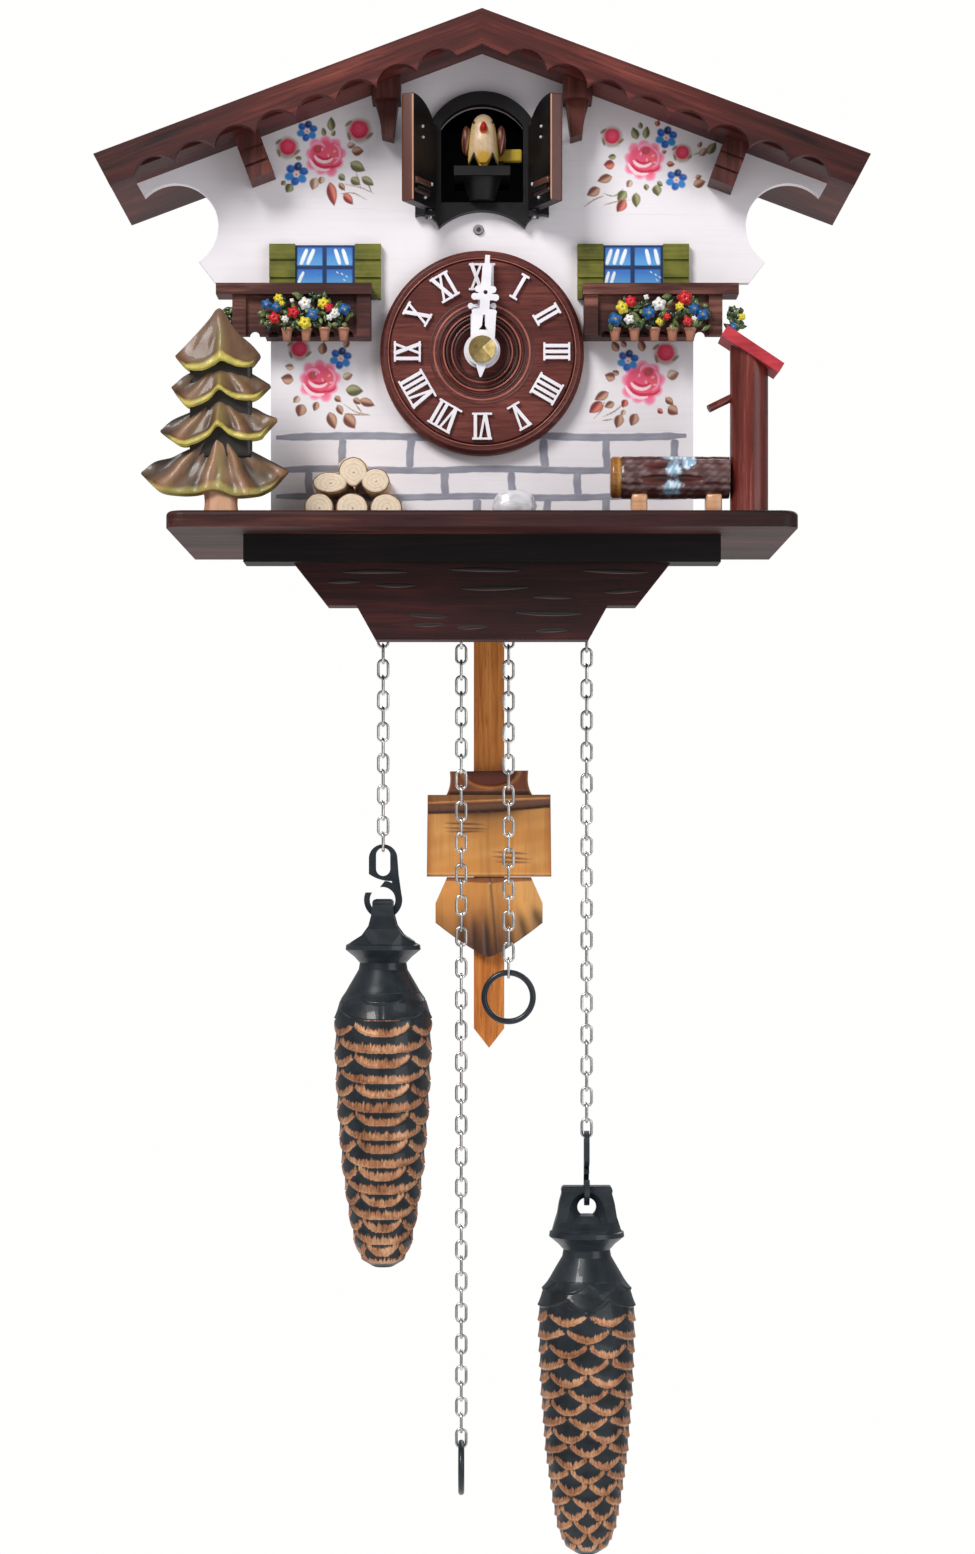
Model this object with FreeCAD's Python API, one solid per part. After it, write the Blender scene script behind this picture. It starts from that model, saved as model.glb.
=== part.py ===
"""Chalet cuckoo clock: a hanging quartz wall clock with chains, cone weights, a pendulum and a cuckoo.

Millimetres. The origin is the centre of the hanging hole, on the back face that rests on the wall.
+X is to the right of someone who looks at the dial, +Y goes into the wall, +Z is up.
"""
import FreeCAD, Part
import math
import os

V = FreeCAD.Vector

# --- Case -------------------------------------------------------------------------------------
RIDGE_Z = 40.3
EAVE_X = 131.0
ROOF_SLOPE = math.radians(20.55)
ROOF_THICK = 8.5
ROOF_FRONT = -80.0
FASCIA_FRONT = -84.0
FASCIA_DEEP = 12.0
SCALLOP_PITCH = 14.57
EAVE_PLAIN = 10.0
OUTER_BRACKET_X = (80.5, 87.0)
SCALLOP_DEEP = 4.6
SCALLOPS = 8
CASE_HALF = 70.0
WALL = 5.0
PANEL_HALF = 72.8
PANEL_BACK = -54.0
PANEL_FRONT = -58.0
SHELF_TOP = -132.0
SHELF_BOTTOM = -137.5
SHELF_HALF = 104.0
SHELF_FRONT = -114.0
MOULDING_BOTTOM = -146.8
MOULDING_HALF = 80.0
MOULDING_FRONT = -90.0
MOULDING_BACK = -74.0
GUIDE_THICK = 3.0
BACK_THICK = 5.0
DOOR_TOP = -30.0
WINDOW_X = (-54.0, 52.0)
BALCONY_SHIFT = -1.6

# --- Dial, hands and motion work -----------------------------------------------------------------
DIAL_Z = -72.4
DIAL_R = 35.0
DIAL_FRONT = -64.0
NUMERAL_INNER = 21.0
NUMERAL_OUTER = 30.2
NUMERAL_FRONT = -65.4
GEAR_MODULE = 0.5
RUNNING = 0.05
MINUTE_ARBOR_R = 1.5
HOUR_TUBE_R = 3.0

# --- Cuckoo --------------------------------------------------------------------------------------
DOORWAY_HALF = 14.1
DOORWAY_BOTTOM = -20.7
DOORWAY_SPRING = 5.5
DOORWAY_TOP = 13.0
FRAME_FRONT = -62.0
PIN_X = 17.8
PIN_Y = -64.3
PIN_R = 0.8
LEAF_THICK = 4.0
LEAF_OPEN = 115.0
SCREW_X = -1.2
SCREW_Z = -29.4
SCREW_R = 1.6
SCREW_RISE = 1.0

# --- Pendulum ------------------------------------------------------------------------------------
PENDULUM_X = 2.5
PENDULUM_Y = -14.0
PIVOT_Z = -85.0
STICK_WIDTH = 10.9
STICK_THICK = 2.4
STICK_TIP = -313.7
PIVOT_R = 1.5
BOB_FRONT = PENDULUM_Y - STICK_THICK / 2 - 0.3 - 4.2

# --- Chains and weights --------------------------------------------------------------------------
CHAIN_Y = -38.0
CHAIN_PITCH = 5.5
WIRE_R = 0.5
LINK_WIDTH = 4.4
LINK_INNER = CHAIN_PITCH + 0.06
PULLEY_Z = -119.0
PULLEY_R = 13.7
PULLEY_X = {"left": -21.0, "right": 23.0}
WEIGHT_SIDE = {"left": -1, "right": 1}
HOOK_TOP = {"left": -241.0, "right": -341.5}
RING_TOP = {"left": -450.0, "right": -285.0}
HOOK_THICK = 1.8
RING_R = 8.55
RING_WIRE = 1.05
EYE_TOP_BELOW_HOOK = 20.1
CONE_LENGTH = 128.4
CROOK_R = 6.7
CROOK_INNER_R = 4.5
EYE_RISE = 0.9
EYE_HOLE_Z = -6.5
EYE_HOLE_R = 3.3
EYE_REACH = 14.0

# --- Fountain and movement -----------------------------------------------------------------------
PLANK_LOW = ((79.2, -73.0), (97.9, -85.1))
MOTION_Z = DIAL_Z - 10.0
HINGE_X = 63.3
HINGE_Y = -1.6
HINGE_HEIGHTS = (-52.0, -108.0)
CELL_X = (-55.5, -40.5)


# --- Small helpers -------------------------------------------------------------------------------
def block(x0, x1, y0, y1, z0, z1):
    """A rectangular block between two corners."""
    return Part.makeBox(x1 - x0, y1 - y0, z1 - z0, V(x0, y0, z0))


def rod(x, y, z, direction, length, radius):
    """A round bar that starts at a point and runs along a direction."""
    return Part.makeCylinder(radius, length, V(x, y, z), V(*direction))


def outline(start, steps, y):
    """A closed wire in the X-Z plane. A step is a point, or an arc given as (middle, end)."""
    edges = []
    here = V(start[0], y, start[1])
    for step in list(steps) + [start]:
        if isinstance(step[0], tuple):
            middle, end = step
            there = V(end[0], y, end[1])
            edges.append(Part.Arc(here, V(middle[0], y, middle[1]), there).toShape())
        else:
            there = V(step[0], y, step[1])
            if (there - here).Length < 1e-6:
                continue
            edges.append(Part.LineSegment(here, there).toShape())
        here = there
    return Part.Wire(edges)


def plate(start, steps, y0, y1):
    """A flat plate: an outline in X-Z, from depth y0 to depth y1."""
    return Part.Face(outline(start, steps, y0)).extrude(V(0, y1 - y0, 0))


def mirrored(shape):
    """The same shape on the other side of the clock."""
    return shape.mirror(V(0, 0, 0), V(1, 0, 0))


def both_sides(shape, shift=0.0):
    """The shape and its mirror image, both moved sideways by a small shift."""
    pair = [mirrored(shape), shape.copy()]
    for piece in pair:
        piece.translate(V(shift, 0, 0))
    return pair


def turned(profile, x, y, z, direction=(0, 0, 1)):
    """A turned piece: (radius, height) points revolved about an axis through x, y, z."""
    points = [V(r, 0, h) for r, h in profile]
    solid = Part.Face(Part.makePolygon(points + points[:1])).revolve(V(0, 0, 0), V(0, 0, 1), 360)
    solid.Placement = FreeCAD.Placement(V(x, y, z), FreeCAD.Rotation(V(0, 0, 1), V(*direction)))
    return solid


def group(solids):
    return Part.makeCompound(solids)


def save(name, shape):
    shape.exportStep("parts/" + name + ".step")


def roof_top(x):
    return RIDGE_Z - abs(x) * math.tan(ROOF_SLOPE)


def roof_under(x):
    return roof_top(x) - ROOF_THICK / math.cos(ROOF_SLOPE)


# --- Roof ----------------------------------------------------------------------------------------
def roof_board():
    """The right roof board, mitred at the ridge, its eave cut back underneath."""
    low_x = EAVE_X - 4.0
    steps = [(EAVE_X, roof_top(EAVE_X)), (low_x, roof_under(low_x)), (0, roof_under(0))]
    return plate((0, RIDGE_Z), steps, ROOF_FRONT, 0.0)


def fascia():
    """The right bargeboard: a row of scallops along its lower edge."""
    along = (math.cos(ROOF_SLOPE), -math.sin(ROOF_SLOPE))
    down = (-math.sin(ROOF_SLOPE), -math.cos(ROOF_SLOPE))

    def at(run, depth):
        return (run * along[0] + depth * down[0], RIDGE_Z + run * along[1] + depth * down[1])

    slope_length = EAVE_X / math.cos(ROOF_SLOPE)
    steps = [at(slope_length, 0), at(slope_length - 1.5, FASCIA_DEEP)]
    run = slope_length - EAVE_PLAIN
    steps.append(at(run, FASCIA_DEEP))
    for _ in range(SCALLOPS):
        middle = at(run - SCALLOP_PITCH / 2, FASCIA_DEEP - SCALLOP_DEEP)
        run -= SCALLOP_PITCH
        steps.append((middle, at(run, FASCIA_DEEP)))
    steps.append((0, RIDGE_Z - FASCIA_DEEP))
    return plate((0, RIDGE_Z), steps, FASCIA_FRONT, ROOF_FRONT)


def outer_bracket(top_x):
    """A stepped bracket under the eave, square to the roof slope."""
    width = 8.6
    length = 15.5
    down = (-math.sin(ROOF_SLOPE), -math.cos(ROOF_SLOPE))
    along = (math.cos(ROOF_SLOPE), -math.sin(ROOF_SLOPE))

    def at(side, depth):
        x = top_x + side * along[0] + depth * down[0]
        return (x, roof_under(top_x) + side * along[1] + depth * down[1])

    half = width / 2
    steps = [at(half, length), at(-half, length), at(-half, 0.0)]
    body = plate(at(half, 0.0), steps, -72.0, PANEL_FRONT)
    for depth in (5.2, 10.4):
        groove = [at(half + 1, depth + 0.9), at(-half - 1, depth + 0.9), at(-half - 1, depth)]
        body = body.cut(plate(at(half + 1, depth), groove, -73.0, -71.0))
    return body


def inner_bracket():
    """A square block with a carved corbel below it, beside the cuckoo's doorway."""
    x0, x1 = 27.8, 37.6
    top = roof_under(x1) - 0.02
    block_bottom = 13.0
    head = plate((x0, roof_under(x0)), [(x1, top), (x1, block_bottom), (x0, block_bottom)],
                 -72.0, PANEL_FRONT)
    corbel_steps = [(x1 - 1.0, block_bottom), ((x1 - 2.6, 7.0), (x1 - 3.2, 1.5)), (x0 + 2.6, 0.3)]
    corbel = plate((x0 + 1.0, block_bottom), corbel_steps, -68.0, PANEL_FRONT)
    return head.fuse(corbel).removeSplitter()


# --- Case ----------------------------------------------------------------------------------------
def front_panel():
    """The painted front, with flared wings under the eaves, the doorway and the hand shaft's hole."""
    cut_x, cut_z, cut_r = 105.6, -28.0, 14.7

    def on_cut(degrees):
        angle = math.radians(degrees)
        return (cut_x + cut_r * math.cos(angle), cut_z + cut_r * math.sin(angle))

    wing = [(119.0, roof_under(119.0)), on_cut(43), (on_cut(140), on_cut(237)), (92.0, -47.6)]
    foot = [(PANEL_HALF, -47.6), (PANEL_HALF, SHELF_TOP)]
    right = plate((0, roof_under(0)), wing + foot + [(0, SHELF_TOP)], PANEL_FRONT, PANEL_BACK)
    panel = right.fuse(mirrored(right)).removeSplitter()
    panel = panel.cut(doorway_solid(0.4, PANEL_FRONT - 1, PANEL_BACK + 1))
    return panel.cut(rod(0, PANEL_FRONT - 1, DIAL_Z, (0, 1, 0), 6, 4.5))


def doorway_solid(margin, y0, y1):
    """The arched space of the doorway, grown all round by a margin."""
    half = DOORWAY_HALF + margin
    bottom = DOORWAY_BOTTOM - margin
    arch = ((0, DOORWAY_TOP + margin), (-half, DOORWAY_SPRING))
    return plate((half, bottom), [(half, DOORWAY_SPRING), arch, (-half, bottom)], y0, y1)


def side_walls():
    inner = CASE_HALF - WALL
    steps = [(CASE_HALF, roof_under(CASE_HALF)), (CASE_HALF, SHELF_TOP), (inner, SHELF_TOP)]
    right = plate((inner, roof_under(inner)), steps, PANEL_BACK, 0.0)
    left = mirrored(right)
    button_recess = block(-CASE_HALF - 1, -inner + 1, -1.3, 1.0, -84.5, -65.5)
    switch_slot = block(inner - 1, CASE_HALF + 1, -25.8, -22.2, -113.0, -101.0)
    return [left.cut(button_recess), right.cut(switch_slot)]


def back_board():
    """The fixed upper back, let in round the hanger plate, with room behind it for a screw head."""
    inner = CASE_HALF - WALL
    steps = [(inner, roof_under(inner)), (inner, DOOR_TOP + 0.5), (-inner, DOOR_TOP + 0.5),
             (-inner, roof_under(inner))]
    board = plate((0, roof_under(0)), steps, -BACK_THICK, 0.0)
    recess = block(-11.0, 11.0, -1.2, 1.0, -9.0, 19.0)
    relief = rod(0, -BACK_THICK - 1, 0, (0, 1, 0), 7, 6.5)
    channel = block(-4.5, 4.5, -BACK_THICK - 1, 1.0, 0.0, 14.5)
    return board.cut(recess).cut(relief).cut(channel)


def hanger_plate():
    """Brass keyhole plate: the screw head goes in at the round hole and the slot drops over the shank."""
    body = block(-11.0, 11.0, -1.2, 0.0, -9.0, 19.0)
    keyhole = rod(0, -2.0, 0, (0, 1, 0), 3, 4.5)
    slot = block(-2.0, 2.0, -2.0, 1.0, 0.0, 10.0)
    slot_end = rod(0, -2.0, 10.0, (0, 1, 0), 3, 2.0)
    screw_holes = [rod(x, -2.0, z, (0, 1, 0), 3, 1.3) for x, z in ((-8.0, -6.0), (8.0, -6.0), (0.0, 15.8))]
    return body.cut([keyhole, slot, slot_end] + screw_holes)


def base_shelf():
    """The wide base board with rounded corners and an opening for chains and pendulum."""
    corner = 6.0
    left_edge = Part.LineSegment(V(-SHELF_HALF, 0, 0), V(-SHELF_HALF, SHELF_FRONT + corner, 0))
    right_edge = Part.LineSegment(V(SHELF_HALF, SHELF_FRONT + corner, 0), V(SHELF_HALF, 0, 0))
    side = SHELF_HALF - corner
    lean = corner * (1 - math.sqrt(0.5))
    arc_left = Part.Arc(V(-SHELF_HALF, SHELF_FRONT + corner, 0), V(-SHELF_HALF + lean, SHELF_FRONT + lean, 0),
                        V(-side, SHELF_FRONT, 0))
    arc_right = Part.Arc(V(side, SHELF_FRONT, 0), V(SHELF_HALF - lean, SHELF_FRONT + lean, 0),
                         V(SHELF_HALF, SHELF_FRONT + corner, 0))
    front = Part.LineSegment(V(-side, SHELF_FRONT, 0), V(side, SHELF_FRONT, 0))
    back = Part.LineSegment(V(SHELF_HALF, 0, 0), V(-SHELF_HALF, 0, 0))
    wire = Part.Wire([e.toShape() for e in (left_edge, arc_left, front, arc_right, right_edge, back)])
    wire.translate(V(0, 0, SHELF_BOTTOM))
    board = Part.Face(wire).extrude(V(0, 0, SHELF_TOP - SHELF_BOTTOM))
    top_edges = [e for e in board.Edges if abs(e.CenterOfMass.z - SHELF_TOP) < 0.01 and e.CenterOfMass.y < -1]
    board = board.makeFillet(1.6, top_edges)
    return board.cut(block(-41.0, 43.0, -45.5, -9.0, SHELF_BOTTOM - 1, SHELF_TOP + 1))


def base_moulding():
    """The front board under the base and the plate that guides four chains and the pendulum."""
    board = block(-MOULDING_HALF, MOULDING_HALF, MOULDING_FRONT, MOULDING_BACK, MOULDING_BOTTOM, SHELF_BOTTOM)
    plate_bottom = SHELF_BOTTOM - GUIDE_THICK
    guide = block(-46.0, 48.0, -50.0, -5.0, plate_bottom, SHELF_BOTTOM)
    for centre in PULLEY_X.values():
        for side in (-1, 1):
            hole = rod(centre + side * PULLEY_R, CHAIN_Y, plate_bottom - 1, (0, 0, 1), GUIDE_THICK + 2, 4.2)
            guide = guide.cut(hole)
    slot = block(-13.0, 18.0, -19.0, -8.5, plate_bottom - 1, SHELF_BOTTOM + 1)
    return [board, guide.cut(slot)]


def apron_boards():
    """Two stacked front boards below the base, each with short carved dashes."""
    boards = []
    for top, bottom, wide, narrow in ((MOULDING_BOTTOM, -161.1, 63.3, 52.0), (-161.1, -172.6, 42.2, 35.8)):
        corners = [(wide, top), (narrow, bottom), (-narrow, bottom)]
        boards.append(plate((-wide, top), corners, -86.0, -74.0))
    return boards


# --- Things on the front -------------------------------------------------------------------------
def window(centre):
    """A small framed window: sill-height pane with raised glazing bars."""
    half = 10.2
    top, bottom = -35.0, -53.5
    pane = block(centre - half, centre + half, PANEL_FRONT - 1.6, PANEL_FRONT, bottom, top)
    bars = block(centre - 0.5, centre + 0.5, PANEL_FRONT - 2.2, PANEL_FRONT - 1.5, bottom, top)
    middle = -44.4
    cross = block(centre - half, centre + half, PANEL_FRONT - 2.2, PANEL_FRONT - 1.5,
                  middle - 0.5, middle + 0.5)
    head = block(centre - half, centre + half, PANEL_FRONT - 2.2, PANEL_FRONT - 1.5, top - 0.9, top)
    return pane.fuse([bars, cross, head]).removeSplitter()


def shutters(centre):
    """The two grooved shutters beside one window."""
    solids = []
    for side in (-1, 1):
        inner = centre + side * 10.25
        outer = centre + side * 19.2
        leaf = block(min(inner, outer), max(inner, outer), PANEL_FRONT - 3.0, PANEL_FRONT, -53.5, -34.7)
        for z in (-40.4, -46.6):
            groove = block(min(inner, outer) - 1, max(inner, outer) + 1, -62.0, -60.2, z - 0.45, z + 0.45)
            leaf = leaf.cut(groove)
        solids.append(leaf)
    return solids


def balcony():
    """The right balcony: a rail, a front board with arched cut-outs, posts and side boards."""
    x0, x1 = 36.5, 83.5
    rail_top, rail_bottom, foot = -50.2, -54.0, -67.8
    rail = block(x0 - 0.5, x1 + 5.5, -72.6, PANEL_FRONT - 3.2, rail_bottom, rail_top)
    front = block(x0, x1, -69.6, -67.0, foot, rail_bottom)
    for index in range(6):
        centre = x0 + 7.5 + index * 6.4
        front = front.cut(rod(centre, -70.0, foot, (0, 1, 0), 4, 1.7))
    sides = [block(x, x + 2.4, -67.0, PANEL_FRONT, foot + 1.0, rail_bottom) for x in (x0, x1 - 2.4 - 11.0)]
    posts = [block(x, x + 4.6, -71.2, -69.6, foot, rail_bottom) for x in (x0, x1 - 4.6)]
    floor = block(x0, x1 - 11.0, -67.0, PANEL_FRONT, foot, foot + 1.0)
    return rail.fuse([front, floor] + sides + posts).removeSplitter()


def flower_box():
    """The row of potted flowers in front of the right balcony, as one bed of blossom over pots."""
    bed = block(45.5, 77.0, -75.6, -71.3, -63.2, -54.6)
    bed = bed.makeFillet(1.8, [e for e in bed.Edges if abs(e.CenterOfMass.y + 75.6) < 0.01])
    pots = [Part.makeCone(1.1, 1.7, 3.4, V(47.6 + k * 6.6, -73.2, -66.6), V(0, 0, 1)) for k in range(5)]
    return bed.fuse(pots)


def fir_tree():
    """The carved fir: four tiers and a short bare trunk."""
    centre = -88.0
    tiers = ((-63.0, 14.0, -78.0, -83.2), (-79.0, 16.3, -89.0, -95.0),
             (-91.0, 19.3, -102.0, -108.2), (-104.0, 24.3, -117.8, -125.0))
    solid = None
    for number, (top, half, tip, bottom) in enumerate(tiers):
        neck = 0.6 if number == 0 else half * 0.45
        right = [((centre + neck + (half - neck) * 0.35, (top * 0.35 + tip * 0.65)), (centre + half, tip)),
                 (centre + half * 0.62, bottom), (centre, bottom + 2.5), (centre - half * 0.62, bottom),
                 (centre - half, tip),
                 ((centre - neck - (half - neck) * 0.35, (top * 0.35 + tip * 0.65)), (centre - neck, top))]
        tier = plate((centre - neck, top), [(centre + neck, top)] + right, -101.0, -90.0)
        solid = tier if solid is None else solid.fuse(tier)
    trunk = rod(centre - 0.8, -95.5, SHELF_TOP, (0, 0, 1), 12.0, 5.8)
    return [solid.cut(trunk).removeSplitter(), trunk]


def fountain_post():
    post = rod(89.0, -95.0, SHELF_TOP, (0, 0, 1), 60.0, 6.35)
    above_roof = plate(PLANK_LOW[0], [PLANK_LOW[1], (110.0, -60.0), (70.0, -60.0)], -110.0, -80.0)
    return post.cut(above_roof)


def spout():
    start = V(84.0, -95.0, -92.2)
    tip = V(75.4, -97.0, -96.6)
    stick = Part.makeCylinder(1.3, (tip - start).Length, start, tip - start)
    return stick.cut(fountain_post())


def fountain_roof():
    """The sloping plank over the post."""
    return plate(PLANK_LOW[0], [PLANK_LOW[1], (100.1, -82.3), (81.3, -69.7)], -103.0, -86.0)


def trough():
    """A hollowed log on two small feet."""
    log = rod(42.8, -95.0, -119.2, (1, 0, 0), 39.6, 7.05)
    basin = block(49.0, 77.0, -97.6, -92.4, -117.0, -100.0)
    log = log.cut(basin)
    feet = []
    for x in (49.8, 74.6):
        foot = block(x, x + 5.0, -99.0, -91.0, SHELF_TOP, -125.0)
        feet.append(foot.cut(log))
    return [log] + feet


def oval(x, z, half_wide, half_high):
    """The outline of an oval log end, as evenly turned points."""
    steps = 28
    points = []
    for k in range(steps):
        angle = 2 * math.pi * k / steps
        points.append((x + half_wide * math.cos(angle), z + half_high * math.sin(angle)))
    return points


def firewood():
    """Six short split logs, stacked with their ends to the front."""
    logs = [oval(-55.4, -127.0, 4.9, 4.95), oval(-44.2, -127.0, 5.4, 4.95), oval(-32.6, -127.1, 5.4, 4.85),
            oval(-51.6, -118.5, 5.9, 3.5), oval(-36.2, -117.9, 4.8, 4.2)]
    logs.append([(-48.6, -112.0), (-46.6, -110.3), (-44.0, -109.7), (-41.4, -110.2), (-39.2, -112.0),
                 (-38.9, -113.4), (-41.6, -116.6), (-43.4, -120.6), (-45.0, -117.6), (-48.4, -114.8)])
    return [plate(points[0], points[1:], -75.0, PANEL_FRONT - 0.1) for points in logs]


def stone():
    body = Part.makeSphere(1.0)
    scale = FreeCAD.Matrix()
    scale.scale(8.4, 5.4, 6.9)
    body = body.transformGeometry(scale)
    body.translate(V(11.2, -68.0, -126.2))
    return body.cut(block(0, 30, -80, -50, SHELF_TOP - 10, SHELF_TOP))


# --- Dial and hands ------------------------------------------------------------------------------
def dial():
    """The turned wooden dial: a rim bead, a flat numeral ring and a stepped hollow for the hands."""
    thick = PANEL_FRONT - DIAL_FRONT
    profile = [(4.6, 0), (DIAL_R, 0), (DIAL_R, thick - 1.4), (DIAL_R - 1.4, thick), (32.6, thick),
               (32.2, thick - 0.9), (31.7, thick - 0.9), (31.3, thick), (15.4, thick), (14.9, thick - 0.7),
               (14.2, thick - 0.2), (13.0, thick - 0.9), (12.3, thick - 2.0), (10.0, thick - 2.6),
               (4.6, thick - 2.6)]
    return turned(profile, 0, PANEL_FRONT, DIAL_Z, (0, -1, 0))


NUMERALS = ("XII", "I", "II", "III", "IIII", "V", "VI", "VII", "VIII", "IX", "X", "XI")
STROKE_GAP = {"I": 2.0, "V": 4.6, "X": 4.8}
SERIF_HALF = 1.5


def bar(x0, z0, x1, z1, width):
    """A raised stroke between two points."""
    run = math.hypot(x1 - x0, z1 - z0)
    ox = (z1 - z0) / run * width / 2
    oz = -(x1 - x0) / run * width / 2
    steps = [(x1 + ox, z1 + oz), (x1 - ox, z1 - oz), (x0 - ox, z0 - oz)]
    return plate((x0 + ox, z0 + oz), steps, NUMERAL_FRONT, DIAL_FRONT)


def numeral(text, hour):
    """One hour's numeral, its foot towards the centre of the dial."""
    tall = NUMERAL_OUTER - NUMERAL_INNER
    width = sum(STROKE_GAP[letter] for letter in text)
    x = -width / 2
    strokes = []
    for letter in text:
        step = STROKE_GAP[letter]
        middle = x + step / 2
        if letter == "I":
            strokes.append(bar(middle, 0, middle, tall, 1.15))
        elif letter == "V":
            strokes.append(bar(middle, 0, middle - 1.7, tall, 1.25))
            strokes.append(bar(middle, 0, middle + 1.7, tall, 0.8))
        else:
            strokes.append(bar(middle + 1.7, 0, middle - 1.7, tall, 1.25))
            strokes.append(bar(middle - 1.7, 0, middle + 1.7, tall, 0.8))
        x += step
    reach = max(width / 2 + 0.1, SERIF_HALF)
    strokes.append(bar(-reach, 0.35, reach, 0.35, 0.7))
    strokes.append(bar(-reach, tall - 0.35, reach, tall - 0.35, 0.7))
    solid = strokes[0].fuse(strokes[1:]).removeSplitter()
    solid.translate(V(0, 0, NUMERAL_INNER))
    solid.rotate(V(0, 0, 0), V(0, 1, 0), hour * 30.0)
    solid.translate(V(0, 0, DIAL_Z))
    return solid


def numerals():
    return [numeral(text, hour) for hour, text in enumerate(NUMERALS)]


def hand(points, hub_r, bore_r, y0, y1):
    """A flat hand: the right half of its outline from hub to tip, mirrored, with a round hub."""
    right = plate((0, points[0][1]), points + [(0, points[-1][1])], y0, y1)
    blade = right.fuse(mirrored(right))
    hub = rod(0, y0, 0, (0, 1, 0), y1 - y0, hub_r)
    solid = blade.fuse(hub).cut(rod(0, y0 - 1, 0, (0, 1, 0), y1 - y0 + 2, bore_r))
    return solid.removeSplitter()


def minute_hand():
    """The long hand: a broad pierced body, a bar with ball ends, a slim tip and a short tail."""
    y0, y1 = -69.6, -68.6
    points = [(4.1, 3.0), (4.1, 12.2), (4.3, 13.2), (3.7, 13.8), (1.65, 13.9), (1.65, 16.9), (3.6, 17.0),
              (3.6, 18.9), (2.2, 19.2), (2.4, 21.4), (1.65, 22.0), (1.5, 29.0), (0.85, 29.6), (0.8, 32.3)]
    solid = hand(points, 5.5, MINUTE_ARBOR_R, y0, y1)
    tail = plate((-1.9, -4.9), [(1.9, -4.9), (0.3, -9.4), (-0.3, -9.4)], y0, y1)
    balls = [rod(side * x, y0, z, (0, 1, 0), y1 - y0, 1.15) for side in (-1, 1)
             for x, z in ((3.6, 17.95), (2.5, 20.6))]
    solid = solid.fuse([tail] + balls)
    keyhole = plate((-1.6, 6.7), [(1.6, 6.7), (0.5, 8.2), (0.4, 11.9), (-0.4, 11.9), (-0.5, 8.2)],
                    y0 - 1, y1 + 1)
    solid = solid.cut([keyhole, rod(0, y0 - 1, 19.6, (0, 1, 0), 3, 0.75)]).removeSplitter()
    solid.rotate(V(0, 0, 0), V(0, 1, 0), 3.4)
    solid.translate(V(0, 0, DIAL_Z))
    return solid


def hour_hand():
    """The short hand: a broad body with a slot, a bar with ball ends and a short point."""
    y0, y1 = -67.2, -66.2
    points = [(3.9, 4.0), (3.9, 12.2), (3.4, 13.0), (1.4, 13.2), (1.4, 14.7), (3.6, 14.9), (3.6, 15.7),
              (1.4, 15.9), (1.2, 18.6), (0.4, 21.4)]
    solid = hand(points, 6.2, HOUR_TUBE_R, y0, y1)
    solid = solid.fuse([rod(side * 3.9, y0, 15.3, (0, 1, 0), y1 - y0, 1.0) for side in (-1, 1)])
    slot = plate((-1.4, 7.2), [(1.4, 7.2), (0.6, 11.6), (-0.6, 11.6)], y0 - 1, y1 + 1)
    solid = solid.cut(slot).removeSplitter()
    solid.translate(V(0, 0, DIAL_Z))
    return solid


def hand_nut():
    """The brass cap nut on the minute arbor: a round collar under a four-sided point."""
    radius, front = 4.55, -70.8
    collar = rod(0, front, DIAL_Z, (0, 1, 0), -69.6 - front, radius)
    point = Part.makeWedge(-5.0, 0, -5.0, -0.2, -0.2, 5.0, 2.6, 5.0, 0.2, 0.2)
    point.rotate(V(0, 0, 0), V(0, 0, 1), 180)
    point.translate(V(0, front, DIAL_Z))
    point = point.common(rod(0, front - 4, DIAL_Z, (0, 1, 0), 5, radius))
    return collar.fuse(point).removeSplitter().cut(rod(0, -71.0, DIAL_Z, (0, 1, 0), 3, MINUTE_ARBOR_R))


def gear(teeth, phase, x, z, y0, y1):
    """A spur gear in the X-Z plane with straight-flanked teeth and plain backlash."""
    pitch_r = GEAR_MODULE * teeth / 2
    tip_r = pitch_r + 0.42
    root_r = pitch_r - 0.55
    tooth = 2 * math.pi / teeth
    points = []
    for k in range(teeth):
        middle = phase + k * tooth
        for radius, offset in ((root_r, -0.30), (pitch_r, -0.19), (tip_r, -0.09),
                               (tip_r, 0.09), (pitch_r, 0.19), (root_r, 0.30)):
            angle = middle + offset * tooth
            points.append(V(x + radius * math.cos(angle), y0, z + radius * math.sin(angle)))
    return Part.Face(Part.makePolygon(points + points[:1])).extrude(V(0, y1 - y0, 0))


def minute_arbor():
    """The arbor that carries the minute hand, with its ten-leaf pinion."""
    shaft = rod(0, -71.0, DIAL_Z, (0, 1, 0), 30.0, MINUTE_ARBOR_R)
    return shaft.fuse(gear(10, math.pi / 2, 0, DIAL_Z, -50.0, -48.6)).removeSplitter()


def hour_wheel():
    """The hour tube and its 32-tooth wheel, turning freely on the minute arbor."""
    tube = rod(0, -67.2, DIAL_Z, (0, 1, 0), 16.0, HOUR_TUBE_R)
    wheel = gear(32, math.pi / 2, 0, DIAL_Z, -52.6, -51.2)
    bore = rod(0, -68.0, DIAL_Z, (0, 1, 0), 18.0, MINUTE_ARBOR_R + RUNNING)
    return tube.fuse(wheel).cut(bore).removeSplitter()


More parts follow.
